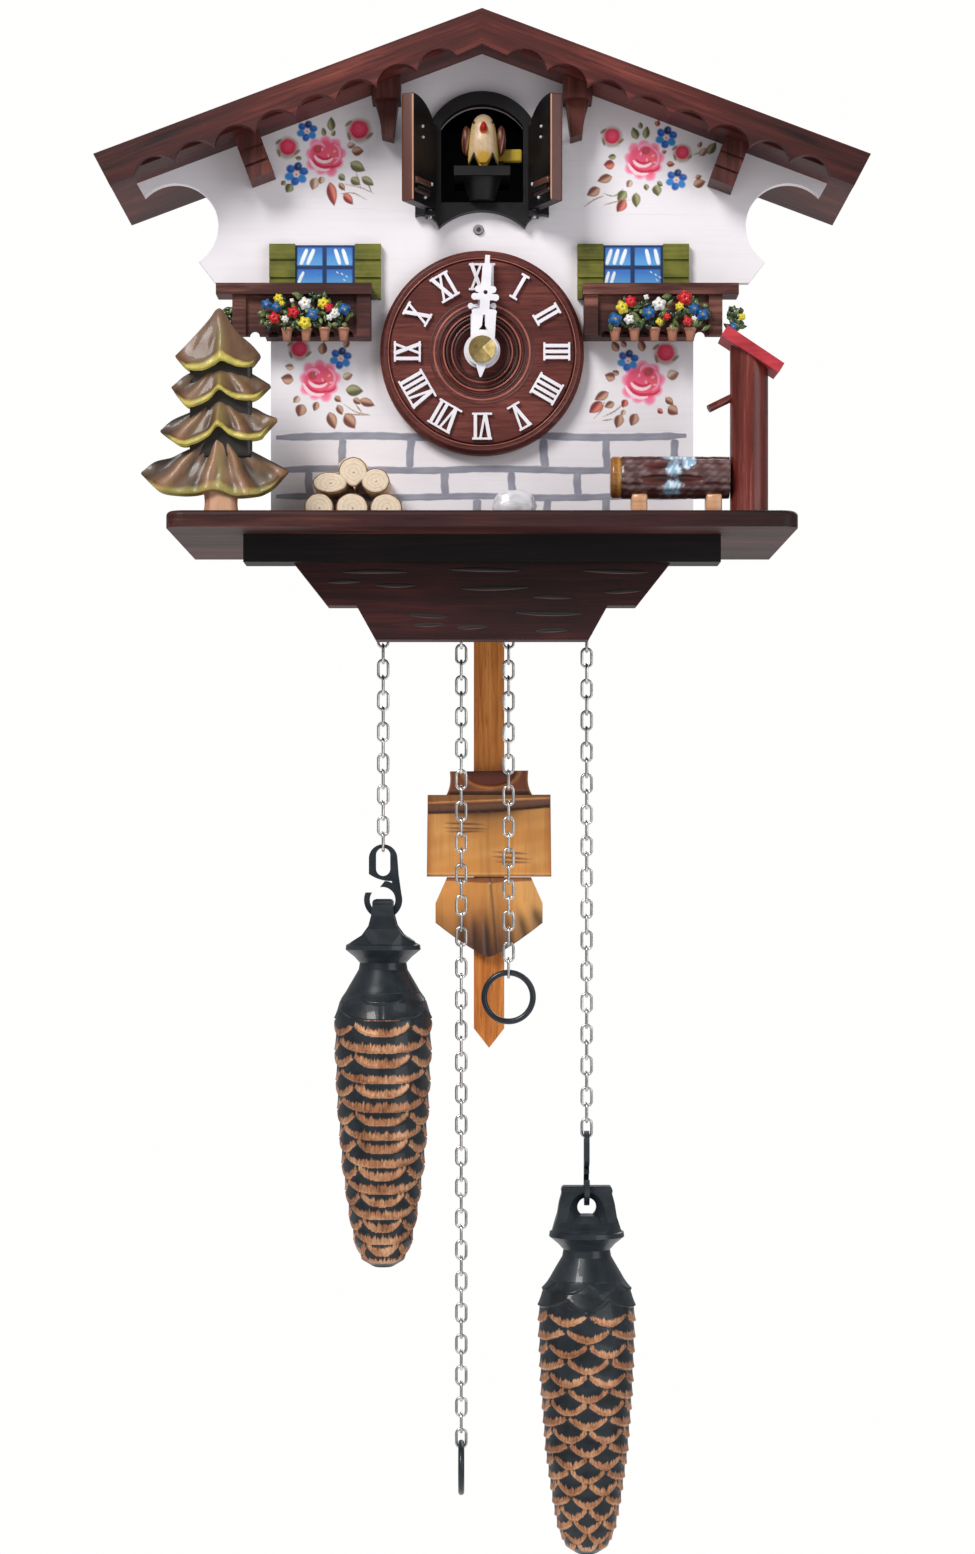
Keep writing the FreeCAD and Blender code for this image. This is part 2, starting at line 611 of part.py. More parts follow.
def motion_wheel():
    """The 30-tooth minute wheel, its eight-leaf pinion and, on the same arbor, the setting knob."""
    mesh_phase = math.pi / 2 + math.pi / 30
    pinion_phase = math.pi / 2 + math.pi / 8
    arbor = rod(0, -52.8, MOTION_Z, (0, 1, 0), 19.0, 1.0)
    wheel = gear(30, mesh_phase, 0, MOTION_Z, -50.0, -48.6)
    pinion = gear(8, pinion_phase, 0, MOTION_Z, -52.6, -50.0)
    knob = rod(0, -37.4, MOTION_Z, (0, 1, 0), 4.0, 6.0)
    for k in range(12):
        angle = math.radians(30 * k)
        flute_x = 6.2 * math.cos(angle)
        flute_z = MOTION_Z + 6.2 * math.sin(angle)
        knob = knob.cut(rod(flute_x, -38.0, flute_z, (0, 1, 0), 6, 0.7))
    return arbor.fuse([wheel, pinion, knob]).removeSplitter()


def movement_housing():
    """The quartz movement's case, hollow round the wheels, with the threaded bush for the hands."""
    half = 28.0
    body = block(-half, half, PANEL_BACK, -38.0, DIAL_Z - half, DIAL_Z + half)
    body = body.makeFillet(3.0, [e for e in body.Edges if abs(e.CenterOfMass.y + 46.0) < 0.01])
    hollow = block(-half + 2, half - 2, PANEL_BACK + 1.0, -39.5, DIAL_Z - half + 2, DIAL_Z + half - 2)
    bush = rod(0, -63.4, DIAL_Z, (0, 1, 0), 10.0, 4.3)
    bearing = rod(0, -46.0, DIAL_Z, (0, 1, 0), 7.0, 3.0)
    body = body.cut(hollow).fuse([bush, bearing]).removeSplitter()
    body = body.cut(rod(0, -64.0, DIAL_Z, (0, 1, 0), 12.0, HOUR_TUBE_R + RUNNING))
    body = body.cut(rod(0, -47.0, DIAL_Z, (0, 1, 0), 6.5, MINUTE_ARBOR_R + RUNNING))
    return body.cut(rod(0, -40.0, MOTION_Z, (0, 1, 0), 4.0, 1.0 + RUNNING))


# --- Cuckoo --------------------------------------------------------------------------------------
def door_frame():
    """The carved arch round the doorway, its horned base and the lugs for the leaves' pins."""
    half = 19.0
    arch = ((0, 17.6), (-half, 4.0))
    ring = plate((half, -21.0), [(half, 4.0), arch, (-half, -21.0)], FRAME_FRONT, PANEL_FRONT)
    foot_steps = [(23.0, -21.0), (23.0, -25.2), ((17.4, -25.7), (14.8, -29.3)),
                  ((0, -23.4), (-14.8, -29.3)), ((-17.4, -25.7), (-23.0, -25.2))]
    foot = plate((-23.0, -21.0), foot_steps, FRAME_FRONT, PANEL_FRONT)
    frame = ring.fuse(foot)
    for side in (-1, 1):
        x = side * PIN_X
        for z0, z1 in ((-25.8, -24.2), (4.9, 6.4)):
            frame = frame.fuse(block(x - 1.7, x + 1.7, PIN_Y - 1.7, PANEL_FRONT - 1, z0, z1))
            frame = frame.cut(rod(x, PIN_Y, z0 - 1, (0, 0, 1), 4, PIN_R))
    return frame.removeSplitter().cut(doorway_solid(0.0, FRAME_FRONT - 2, PANEL_FRONT + 1))


def door_leaf_right():
    """The right leaf, modelled shut and then swung open about its pin."""
    free = 0.3
    top_arc = ((10.0, 10.9), (PIN_X, 4.4))
    steps = [(free, 12.6), top_arc, (PIN_X, -23.8)]
    y0, y1 = PIN_Y - LEAF_THICK / 2, PIN_Y + LEAF_THICK / 2
    leaf = plate((free, -23.8), steps, y0, y1)
    barrel = rod(PIN_X, PIN_Y, -23.8, (0, 0, 1), 28.2, LEAF_THICK / 2)
    batten = rod(3.0, y1 - 0.6, -17.6, (1, 0, 0), 10.6, 1.5).common(block(0, 20, y0, y1 + 0.7, -20, -15))
    leaf = leaf.cut(rod(PIN_X, PIN_Y, 4.6, (0, 0, 1), 12.0, 2.9))
    leaf = leaf.fuse([barrel, batten]).removeSplitter()
    leaf = leaf.cut(rod(PIN_X, PIN_Y, -30, (0, 0, 1), 60, PIN_R + RUNNING))
    leaf.rotate(V(PIN_X, PIN_Y, 0), V(0, 0, 1), LEAF_OPEN)
    return leaf


def small_fasteners():
    """The two leaf pins, the screw below the doorway and the two pins of the back door's hinges."""
    pins = [rod(side * PIN_X, PIN_Y, -26.6, (0, 0, 1), 33.6, PIN_R) for side in (-1, 1)]
    screw = rod(SCREW_X, PANEL_FRONT - SCREW_RISE, SCREW_Z, (0, 1, 0), SCREW_RISE, SCREW_R)
    hinge_pins = [rod(HINGE_X, HINGE_Y, z - 5.5, (0, 0, 1), 11.0, 0.6) for z in HINGE_HEIGHTS]
    return pins + [screw] + hinge_pins


def bird_carriage():
    """The perch, its tapered block and the keel that the bird drive pushes along."""
    perch = block(-9.6, 9.6, -70.0, -44.0, -13.0, -9.8)
    taper = Part.makeCone(4.4, 6.6, 7.4, V(0, -62.2, -20.4), V(0, 0, 1))
    keel = block(-1.5, 1.5, -58.0, -46.0, -20.0, -12.9)
    finger = block(-1.2, 1.2, -49.0, -46.0, -26.0, -19.9)
    pusher = block(5.4, 13.4, -57.0, -54.4, -5.3, -1.6)
    pusher_arm = block(5.4, 7.4, -57.0, -54.4, -9.8, -1.6)
    return perch.fuse([taper, keel, finger, pusher, pusher_arm]).removeSplitter()


def bird():
    """The cuckoo on its peg: rounded body, folded wings and a beak."""
    profile_scale = FreeCAD.Matrix()
    profile_scale.scale(5.3, 6.2, 8.0)
    body = Part.makeSphere(1.0).transformGeometry(profile_scale)
    body.translate(V(0, -61.0, 1.4))
    peg = rod(0, -61.0, -9.8, (0, 0, 1), 6.0, 1.5)
    beak = Part.makeCone(1.4, 0.3, 5.0, V(0, -66.0, 5.0), V(0, -1, 0))
    wings = [block(side * 5.9 - 1.7, side * 5.9 + 1.7, -63.5, -57.5, -5.0, 6.0) for side in (-1, 1)]
    wings = [w.makeFillet(1.2, w.Edges) for w in wings]
    return body.fuse([peg, beak] + wings).removeSplitter()


def doorway_box():
    """The black box behind the doorway, with a slot in its floor for the keel's finger."""
    back = -16.0
    outer = block(-15.3, 15.3, PANEL_BACK, back, -21.9, 14.4)
    inner = block(-14.5, 14.5, PANEL_BACK - 1, back - 1.2, -21.1, 13.6)
    return outer.cut(inner).cut(block(-2.2, 2.2, -52.0, -19.2, -23.0, -20.0))


def bird_drive():
    """The motor unit under the doorway box; the carriage's finger runs in its top slot."""
    body = block(-12.0, 12.0, -53.8, -18.0, -41.0, -22.0)
    return body.cut(block(-2.2, 2.2, -52.0, -19.2, -28.0, -21.0))


# --- Pendulum ------------------------------------------------------------------------------------
def pendulum_stick():
    """The lath, its hanging eye, its pointed tip and the drive magnet."""
    half = STICK_WIDTH / 2
    y0, y1 = PENDULUM_Y - STICK_THICK / 2, PENDULUM_Y + STICK_THICK / 2
    top = PIVOT_Z + 3.0
    x = PENDULUM_X
    head = ((x, top + 4.0), (x + half, top))
    lath = plate((x - half, top),
                 [head, (x + half, STICK_TIP + 7.0), (x, STICK_TIP), (x - half, STICK_TIP + 7.0)],
                 y0, y1)
    lath = lath.cut(rod(x, y0 - 1, PIVOT_Z, (0, 1, 0), STICK_THICK + 2, PIVOT_R + RUNNING))
    magnet = rod(x, y0 - 2.4, PIVOT_Z - 13.0, (0, 1, 0), 2.4, 4.0)
    return [lath, magnet]


def pendulum_bob():
    """The carved bob: a neck, a wide panel and a hanging leaf, clipped over the lath from the front."""
    x = PENDULUM_X
    back = BOB_FRONT + 4.2
    flare_right = ((x + 14.3, -220.0), (x + 15.4, -223.0))
    flare_left = ((x - 14.3, -220.0), (x - 14.0, -214.6))
    neck = plate((x - 14.0, -214.6), [(x + 14.0, -214.6), flare_right, (x - 15.4, -223.0), flare_left],
                 BOB_FRONT + 0.8, back)
    panel = plate((x - 22.0, -223.0), [(x + 22.0, -223.0), (x + 22.3, -252.5), (x - 22.3, -252.5)],
                  BOB_FRONT, back)
    leaf_right = ((x + 11.0, -277.4), (x, -281.4))
    leaf_left = ((x - 11.0, -277.4), (x - 19.2, -269.0))
    leaf = plate((x - 15.2, -252.5), [(x + 15.2, -252.5), (x + 19.2, -269.0), leaf_right, leaf_left],
                 BOB_FRONT + 0.5, back)
    groove = block(x - 25, x + 25, BOB_FRONT - 1, BOB_FRONT + 0.8, -229.6, -227.4)
    body = neck.fuse([panel, leaf]).cut(groove)
    lath_half = STICK_WIDTH / 2 + 0.3
    cheeks = []
    for side in (-1, 1):
        inner = x + side * lath_half
        outer = inner + side * 2.0
        cheeks.append(block(min(inner, outer), max(inner, outer), back, back + 4.2, -246.0, -230.0))
    strap = block(x - lath_half - 2.0, x + lath_half + 2.0, back + 3.1, back + 4.2, -246.0, -230.0)
    return body.fuse(cheeks + [strap]).removeSplitter()


def pendulum_drive():
    """The coil unit that swings the pendulum, and the pin it hangs on."""
    x = PENDULUM_X
    unit = block(x - 15.0, x + 15.0, -32.0, -21.0, PIVOT_Z - 20.0, PIVOT_Z + 8.0)
    pin = rod(x, -21.5, PIVOT_Z, (0, 1, 0), 10.0, PIVOT_R)
    cap = rod(x, -11.9, PIVOT_Z, (0, 1, 0), 1.2, 2.6)
    return unit.fuse([pin, cap]).removeSplitter()


# --- Chains and weights --------------------------------------------------------------------------
def link():
    """One oblong link of round wire, standing in the X-Z plane, centred on the origin."""
    bend_r = LINK_WIDTH / 2 - WIRE_R
    straight = straight_half()
    wire_end = Part.Face(Part.Wire(Part.Circle(V(bend_r, 0, 0), V(0, 0, 1), WIRE_R).toShape()))
    top = wire_end.revolve(V(0, 0, 0), V(0, -1, 0), 180)
    top.translate(V(0, 0, straight))
    bottom = top.mirror(V(0, 0, 0), V(0, 0, 1))
    bars = [rod(side * bend_r, 0, -straight, (0, 0, 1), 2 * straight, WIRE_R) for side in (-1, 1)]
    return top.fuse([bottom] + bars).removeSplitter()


def chain_run(x, bottom_z, last_faces_front):
    """A straight run of links below the pulley, its last link centred at bottom_z."""
    pattern = link()
    links = []
    for k in range(run_count(bottom_z)):
        piece = pattern.copy()
        faces_front = last_faces_front if k % 2 == 0 else not last_faces_front
        if not faces_front:
            piece.rotate(V(0, 0, 0), V(0, 0, 1), 90)
        piece.translate(V(x, CHAIN_Y, bottom_z + k * CHAIN_PITCH))
        links.append(piece)
    return links


def run_count(bottom_z):
    return int((PULLEY_Z - bottom_z) / CHAIN_PITCH) + 1


def top_faces_front(bottom_z, last_faces_front):
    """Whether a run's highest link shows its face to the front."""
    return last_faces_front == (run_count(bottom_z) % 2 == 1)


def run_top_gap(bottom_z):
    """How far the run's highest link stops short of the pulley's axis."""
    return PULLEY_Z - bottom_z - (run_count(bottom_z) - 1) * CHAIN_PITCH


def over_pulley(run):
    """Place and lean of a link after a run of chain over a pulley: (x, z, degrees)."""
    half_turn = math.pi * PULLEY_R
    if run < 0:
        return PULLEY_R, run, 0.0
    if run > half_turn:
        return -PULLEY_R, half_turn - run, 180.0
    angle = run / PULLEY_R
    return PULLEY_R * math.cos(angle), PULLEY_R * math.sin(angle), math.degrees(angle)


def chain_wraps():
    """The links over each pulley, evenly spaced between the tops of its two hanging runs."""
    pattern = link()
    links = []
    for name, centre in PULLEY_X.items():
        side = WEIGHT_SIDE[name]
        start = -run_top_gap(weight_last_link(name))
        end = math.pi * PULLEY_R + run_top_gap(ring_last_link(name))
        hook_faces_front = name == "left"
        weight_top = top_faces_front(weight_last_link(name), not hook_faces_front)
        ring_top = top_faces_front(ring_last_link(name), hook_faces_front)
        count = math.ceil((end - start) / CHAIN_PITCH)
        if (count % 2 == 0) != (weight_top == ring_top):
            count += 1
        for k in range(1, count):
            x, z, lean = over_pulley(start + (end - start) * k / count)
            piece = pattern.copy()
            if weight_top == (k % 2 == 1):
                piece.rotate(V(0, 0, 0), V(0, 0, 1), 90)
            piece.rotate(V(0, 0, 0), V(0, 1, 0), -lean * side)
            piece.translate(V(centre + side * x, CHAIN_Y, PULLEY_Z + z))
            links.append(piece)
    return links


def pulley(name):
    """A plain grooved pulley."""
    profile = [(1.5 + RUNNING, -3.6), (15.2, -3.6), (15.2, -2.8), (11.0, -2.7), (11.0, 2.7), (15.2, 2.8),
               (15.2, 3.6), (1.5 + RUNNING, 3.6)]
    return turned(profile, PULLEY_X[name], CHAIN_Y, PULLEY_Z, (0, 1, 0))


def chain_bracket():
    """Two steel cheeks on the base board, tied by a bridge, with the pulleys' axles between them."""
    parts = [block(-47.0, 49.0, y0, y0 + 1.2, SHELF_TOP, -101.5) for y0 in (-45.4, -33.2)]
    parts += [block(x, x + 1.2, -44.3, -33.1, SHELF_TOP, -101.5) for x in (-47.0, 47.8)]
    for centre in PULLEY_X.values():
        parts.append(rod(centre, -44.3, PULLEY_Z, (0, 1, 0), 11.2, 1.5))
    return parts[0].fuse(parts[1:]).removeSplitter()


def chain_x(name, part):
    """X of a chain run: the weight hangs outside, the pull ring inside."""
    side = WEIGHT_SIDE[name] * (1 if part == "weight" else -1)
    return PULLEY_X[name] + side * PULLEY_R


def straight_half():
    return LINK_INNER / 2 + WIRE_R - (LINK_WIDTH / 2 - WIRE_R)


def weight_last_link(name):
    """Height of the last link of the weight's run, its lower bend round the top bar of the hook."""
    return HOOK_TOP[name] - 1.3 + 0.6 + straight_half()


def ring_last_link(name):
    return RING_TOP[name] - RING_WIRE + 0.1 + straight_half()


def face_side(shape, x, name):
    """The right-hand set hangs a quarter turn round from the left-hand one."""
    if name == "right":
        shape.rotate(V(x, CHAIN_Y, 0), V(0, 0, 1), 90)
    return shape


def weight_hook(name):
    """A flat moulded hook: a closed eye for the chain above an open crook for the weight."""
    x = chain_x(name, "weight")
    top = HOOK_TOP[name]
    y0, y1 = CHAIN_Y - HOOK_THICK / 2, CHAIN_Y + HOOK_THICK / 2
    eye = plate((x - 5.0, top - 5.0), [((x, top), (x + 5.0, top - 5.0)), (x + 5.6, top - 12.6),
                                       ((x + 2.0, top - 12.9), (x - 5.0, top - 10.4))], y0, y1)
    slot = plate((x - 2.5, top - 3.8), [((x, top - 1.3), (x + 2.5, top - 3.8)), (x + 2.5, top - 8.6),
                                        ((x, top - 11.1), (x - 2.5, top - 8.6))], y0 - 1, y1 + 1)
    centre = top - 19.5
    outer = rod(x, y0, centre, (0, 1, 0), y1 - y0, CROOK_R)
    inner = rod(x - 0.2, y0 - 1, centre, (0, 1, 0), y1 - y0 + 2, CROOK_INNER_R)
    mouth = plate((x - 8.0, centre + 3.4),
                  [(x - 2.0, centre + 3.4), (x + 2.5, centre + 9.0), (x - 8.0, centre + 9.0)],
                  y0 - 1, y1 + 1)
    tip_gap = block(x - 8.0, x - 1.0, y0 - 1, y1 + 1, centre + 2.6, centre + 9.0)
    crook = outer.cut(inner).cut(mouth).cut(tip_gap)
    spine = plate((x + 2.6, top - 11.0),
                  [(x + 5.5, top - 11.0), (x + CROOK_R, centre), (x + 4.4, centre + 0.6)], y0, y1)
    hook = eye.cut(slot).fuse([crook, spine]).removeSplitter()
    return face_side(hook, x, name)


def cone_cap():
    """The eye above the collar: a broad rounded tab one way, a flaring tent the other way."""
    face = plate((-6.0, EYE_RISE), [(6.0, EYE_RISE), ((8.3, 0.7), (8.8, -1.6)), (9.7, -5.0),
                                    (10.4, -9.5), (11.8, -13.8), (12.4, -15.8), (-12.4, -15.8),
                                    (-11.8, -13.8), (-10.4, -9.5), (-9.7, -5.0), (-8.8, -1.6),
                                    ((-8.3, 0.7), (-6.0, EYE_RISE))], -EYE_REACH, EYE_REACH)
    tent = plate((-2.2, EYE_RISE), [(2.2, EYE_RISE), ((3.2, 0.5), (3.5, -0.8)), (4.0, -5.0),
                                    (4.9, -8.4), (7.2, -11.6), (11.0, -14.0), (12.4, -15.8),
                                    (-12.4, -15.8), (-11.0, -14.0), (-7.2, -11.6), (-4.9, -8.4),
                                    (-4.0, -5.0), (-3.5, -0.8), ((-3.2, 0.5), (-2.2, EYE_RISE))],
                 -EYE_REACH, EYE_REACH)
    tent.rotate(V(0, 0, 0), V(0, 0, 1), 90)
    cap = face.common(tent).common(rod(0, 0, -17.0, (0, 0, 1), 20.0, 12.5))
    cap = cap.cut(rod(0, -EYE_REACH, EYE_HOLE_Z, (0, 1, 0), 2 * EYE_REACH, EYE_HOLE_R))
    for side in (-1, 1):
        bevel = Part.makeCone(EYE_HOLE_R, EYE_HOLE_R + 6.0, 6.0, V(0, side * 1.6, EYE_HOLE_Z), V(0, side, 0))
        cap = cap.cut(bevel)
    cap.rotate(V(0, 0, 0), V(0, 0, 1), 90)
    return cap


def cone_weight(name):
    """The fir cone casting: a moulded eye, a flared collar and a long tapering body."""
    x = chain_x(name, "weight")
    top = HOOK_TOP[name] - EYE_TOP_BELOW_HOOK
    profile = [(0, -9.0), (5.4, -9.4), (8.0, -12.5), (13.0, -15.2), (13.2, -16.8), (10.0, -19.4),
               (8.2, -21.4), (8.6, -23.8), (12.0, -29.6), (15.0, -35.0), (16.2, -41.0), (16.2, -50.0),
               (15.4, -70.0), (13.7, -92.0), (11.3, -109.0),
               (9.4, -119.0), (6.8, -125.4), (3.2, -128.0), (0, -CONE_LENGTH)]
    body = turned(profile, x, CHAIN_Y, top)
    cap = cone_cap()
    cap.translate(V(x, CHAIN_Y, top))
    return face_side(body.fuse(cap).removeSplitter(), x, name)


def pull_ring(name):
    """The ring at the free end of a chain."""
    x = chain_x(name, "ring")
    ring = Part.makeTorus(RING_R, RING_WIRE, V(x, CHAIN_Y, RING_TOP[name] - RING_WIRE - RING_R), V(1, 0, 0))
    return face_side(ring, x, name)


# --- Inside the case -----------------------------------------------------------------------------


def battery_holder():
    body = block(-65.0, -31.5, -31.0, -12.5, -99.0, -40.0)
    return body.cut(block(-63.4, -33.0, -29.4, -12.0, -97.2, -42.0))


def batteries():
    """Two cells, each with its raised end contact."""
    cells = []
    for x in CELL_X:
        cell = rod(x, -21.4, -96.6, (0, 0, 1), 49.6, 7.15)
        cells.append(cell.fuse(rod(x, -21.4, -47.1, (0, 0, 1), 1.1, 2.7)).removeSplitter())
    return cells


def sound_unit():
    """The circuit board on the side wall and the loudspeaker that faces the slots in the back door."""
    board = block(24.0, 65.0, -31.0, -29.4, -98.0, -40.0)
    profile = [(0, 0), (9.0, 0), (9.0, 5.0), (10.0, 8.0), (17.5, 13.0), (19.5, 13.0), (19.5, 14.6),
               (17.0, 14.6), (12.0, 11.0), (5.0, 9.6), (0, 10.4)]
    speaker = turned(profile, 44.8, -29.4, -68.0, (0, 1, 0))
    return [board, speaker]


def back_door():
    """The hinged back, slotted in front of the loudspeaker."""
    door = block(-64.6, 61.8, -BACK_THICK, -1.0, -131.4, DOOR_TOP)
    for k in range(7):
        z = -80.0 + k * 4.0
        door = door.cut(block(32.0, 57.0, -6.0, 0.0, z - 0.9, z + 0.9))
    door = door.cut(rod(-56.0, -3.0, -80.0, (0, 1, 0), 4.0, 1.2 + RUNNING))
    for z in HINGE_HEIGHTS:
        strap = block(50.0, HINGE_X, -1.0, -0.3, z - 4.0, z + 4.0)
        barrel = rod(HINGE_X, HINGE_Y, z - 4.0, (0, 0, 1), 8.0, 1.3)
        door = door.fuse([strap, barrel]).cut(rod(HINGE_X, HINGE_Y, z - 6.0, (0, 0, 1), 12.0, 0.65))
    return door.removeSplitter()


def turn_button():
    """The small turning catch that holds the back door shut."""
    body = block(-68.6, -51.0, -0.95, -0.1, -83.5, -76.5)
    body = body.makeFillet(3.0, [e for e in body.Edges if abs(e.CenterOfMass.y + 0.525) < 0.01])
    return body.fuse(rod(-56.0, -2.9, -80.0, (0, 1, 0), 2.0, 1.2)).removeSplitter()


def mode_switch():
    """The slide of the night switch, its knob standing out of the side wall."""
    slide = block(59.0, 64.7, -27.5, -20.5, -111.0, -103.0)
    knob = block(64.0, 72.6, -25.6, -22.4, -109.5, -104.5)
    return slide.fuse(knob).removeSplitter()


# --- Writing the parts ---------------------------------------------------------------------------
def write_case():
    save("front_panel", front_panel())
    save("side_walls", group(side_walls()))
    save("back_board", back_board())
    save("hanger_plate", hanger_plate())
    save("roof_boards", group(both_sides(roof_board())))
    save("roof_fascias", group(both_sides(fascia())))
    outer = [mirrored(outer_bracket(OUTER_BRACKET_X[0])), outer_bracket(OUTER_BRACKET_X[1])]
    save("roof_brackets", group(outer + both_sides(inner_bracket())))
    save("base_shelf", base_shelf())
    save("base_moulding", group(base_moulding()))
    save("apron_boards", group(apron_boards()))
    save("small_fasteners", group(small_fasteners()))


def write_front():
    save("windows", group([window(x) for x in WINDOW_X]))
    save("shutters", group(shutters(WINDOW_X[0]) + shutters(WINDOW_X[1])))
    save("balconies", group(both_sides(balcony(), BALCONY_SHIFT)))
    save("balcony_flowers", group(both_sides(flower_box(), BALCONY_SHIFT)))
    save("fir_tree", group(fir_tree()))
    save("fountain_post", group([fountain_post(), spout()]))
    save("fountain_roof", fountain_roof())
    save("trough", group(trough()))
    save("firewood", group(firewood()))
    save("stone", stone())
    save("dial", dial())
    save("numerals", group(numerals()))


def write_movement():
    save("movement_housing", movement_housing())
    save("minute_arbor", minute_arbor())
    save("minute_hand", minute_hand())
    save("hand_nut", hand_nut())
    save("hour_wheel", hour_wheel())
    save("hour_hand", hour_hand())
    save("motion_wheel", motion_wheel())
    save("battery_holder", battery_holder())
    save("batteries", group(batteries()))
    save("sound_unit", group(sound_unit()))
    save("back_door", back_door())
    save("turn_button", turn_button())
    save("mode_switch", mode_switch())


def write_cuckoo():
    save("door_frame", door_frame())
    leaf = door_leaf_right()
    save("door_leaf_right", leaf)
    save("door_leaf_left", mirrored(leaf))
    save("doorway_box", doorway_box())
    save("bird_drive", bird_drive())
    save("bird_carriage", bird_carriage())
    save("bird", bird())


def write_pendulum():
    save("pendulum_drive", pendulum_drive())
    save("pendulum_stick", group(pendulum_stick()))
    save("pendulum_bob", pendulum_bob())


def write_chains():
    save("chain_bracket", chain_bracket())
    save("chain_wraps", group(chain_wraps()))
    for name in PULLEY_X:
        hook_faces_front = name == "left"
        weight_run = chain_run(chain_x(name, "weight"), weight_last_link(name), not hook_faces_front)
        ring_run = chain_run(chain_x(name, "ring"), ring_last_link(name), hook_faces_front)
        save("weight_chain_" + name, group(weight_run))
        save("ring_chain_" + name, group(ring_run))
        save("pulley_" + name, pulley(name))
        save("weight_hook_" + name, weight_hook(name))
        save("cone_weight_" + name, cone_weight(name))
        save("pull_ring_" + name, pull_ring(name))


os.makedirs("parts", exist_ok=True)
write_case()
write_front()
write_movement()
write_cuckoo()
write_pendulum()
write_chains()
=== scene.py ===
"""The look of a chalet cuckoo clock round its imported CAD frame.

Metres in the clock's own frame: the origin is the hanging hole on the back face, -Y is the front, +Z is up.
Sizes written with MM are in millimetres.
"""
import math
import random

import bpy
import numpy as np
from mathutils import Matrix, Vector, noise


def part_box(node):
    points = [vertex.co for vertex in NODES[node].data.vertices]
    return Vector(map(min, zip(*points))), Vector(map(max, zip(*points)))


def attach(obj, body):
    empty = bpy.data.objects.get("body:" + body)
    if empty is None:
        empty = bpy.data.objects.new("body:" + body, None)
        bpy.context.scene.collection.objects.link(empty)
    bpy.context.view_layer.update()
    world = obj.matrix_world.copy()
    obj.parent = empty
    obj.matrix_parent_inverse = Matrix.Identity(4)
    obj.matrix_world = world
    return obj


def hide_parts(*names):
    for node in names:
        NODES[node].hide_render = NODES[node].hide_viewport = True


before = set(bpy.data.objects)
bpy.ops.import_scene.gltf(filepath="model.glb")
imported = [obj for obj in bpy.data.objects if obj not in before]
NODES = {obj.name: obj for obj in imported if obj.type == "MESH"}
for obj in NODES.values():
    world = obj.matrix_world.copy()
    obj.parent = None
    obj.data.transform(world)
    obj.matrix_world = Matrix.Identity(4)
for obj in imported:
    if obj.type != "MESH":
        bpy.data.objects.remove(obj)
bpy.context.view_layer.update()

MM = 0.001

# --- Camera, light and floor -----------------------------------------------------------------------
CAMERA_Y = -1.180
CAMERA_Z = -0.250
LENS = 75.4
SHIFT = (0.0035, 0.0598)
FLOOR_Z = -1.9
FLOOR_HALF = 5.0
AMBIENT = 0.32


def area_light(name, place, target, size, watts, colour=(1, 1, 1)):
    lamp = bpy.data.lights.new(name, "AREA")
    lamp.shape = "RECTANGLE"
    lamp.size, lamp.size_y = size
    lamp.energy = watts
    lamp.color = colour
    holder = bpy.data.objects.new(name, lamp)
    bpy.context.scene.collection.objects.link(holder)
    holder.location = place
    holder.rotation_euler = (Vector(target) - Vector(place)).to_track_quat("-Z", "Y").to_euler()
    return holder


def studio():
    scene = bpy.context.scene
    scene.view_settings.view_transform = "Standard"
    world = bpy.data.worlds.new("studio")
    scene.world = world
    world.use_nodes = True
    tree = world.node_tree
    seen = tree.nodes["Background"]
    seen.inputs["Color"].default_value = (1.0, 0.995, 0.99, 1)
    seen.inputs["Strength"].default_value = 1.0
    soft = tree.nodes.new("ShaderNodeBackground")
    soft.inputs["Color"].default_value = (0.97, 0.98, 1.0, 1)
    soft.inputs["Strength"].default_value = AMBIENT
    either = tree.nodes.new("ShaderNodeMixShader")
    path = tree.nodes.new("ShaderNodeLightPath")
    tree.links.new(path.outputs["Is Camera Ray"], either.inputs[0])
    tree.links.new(soft.outputs[0], either.inputs[1])
    tree.links.new(seen.outputs[0], either.inputs[2])
    tree.links.new(either.outputs[0], tree.nodes["World Output"].inputs[0])
    camera = bpy.data.cameras.new("camera")
    holder = bpy.data.objects.new("camera", camera)
    scene.collection.objects.link(holder)
    camera.lens = LENS
    camera.sensor_width = 36.0
    camera.shift_x, camera.shift_y = SHIFT
    holder.location = (0.0, CAMERA_Y, CAMERA_Z)
    holder.rotation_euler = (math.radians(90), 0, 0)
    scene.camera = holder
    area_light("key", (-0.75, -1.25, 0.95), (0, -0.05, -0.15), (0.6, 0.6), 26.0, (1.0, 0.985, 0.96))
    area_light("fill", (1.2, -1.2, 0.1), (0, -0.05, -0.2), (1.0, 1.2), 8.0, (0.96, 0.98, 1.0))
    area_light("rear", (0.6, 1.2, 0.7), (0, 0, -0.15), (1.0, 1.0), 10.0)


def floor():
    """A plain pale floor well below the lowest ring, with a slight grain of its own."""
    mesh = bpy.data.meshes.new("floor")
    side = FLOOR_HALF
    corners = [(-side, -side, FLOOR_Z), (side, -side, FLOOR_Z), (side, side, FLOOR_Z),
               (-side, side, FLOOR_Z)]
    mesh.from_pydata(corners, [], [(0, 1, 2, 3)])
    piece = bpy.data.objects.new("floor", mesh)
    bpy.context.scene.collection.objects.link(piece)
    g = Graph("pale_floor", rough=0.85)
    g.colour(g.ramp(g.noise(30, detail=3), [(0.3, rgb(249, 249, 248)), (0.7, rgb(253, 253, 252))]))
    g.set("Emission Color", rgb(252, 252, 251))
    g.set("Emission Strength", 0.55)
    mesh.materials.append(g.mat)


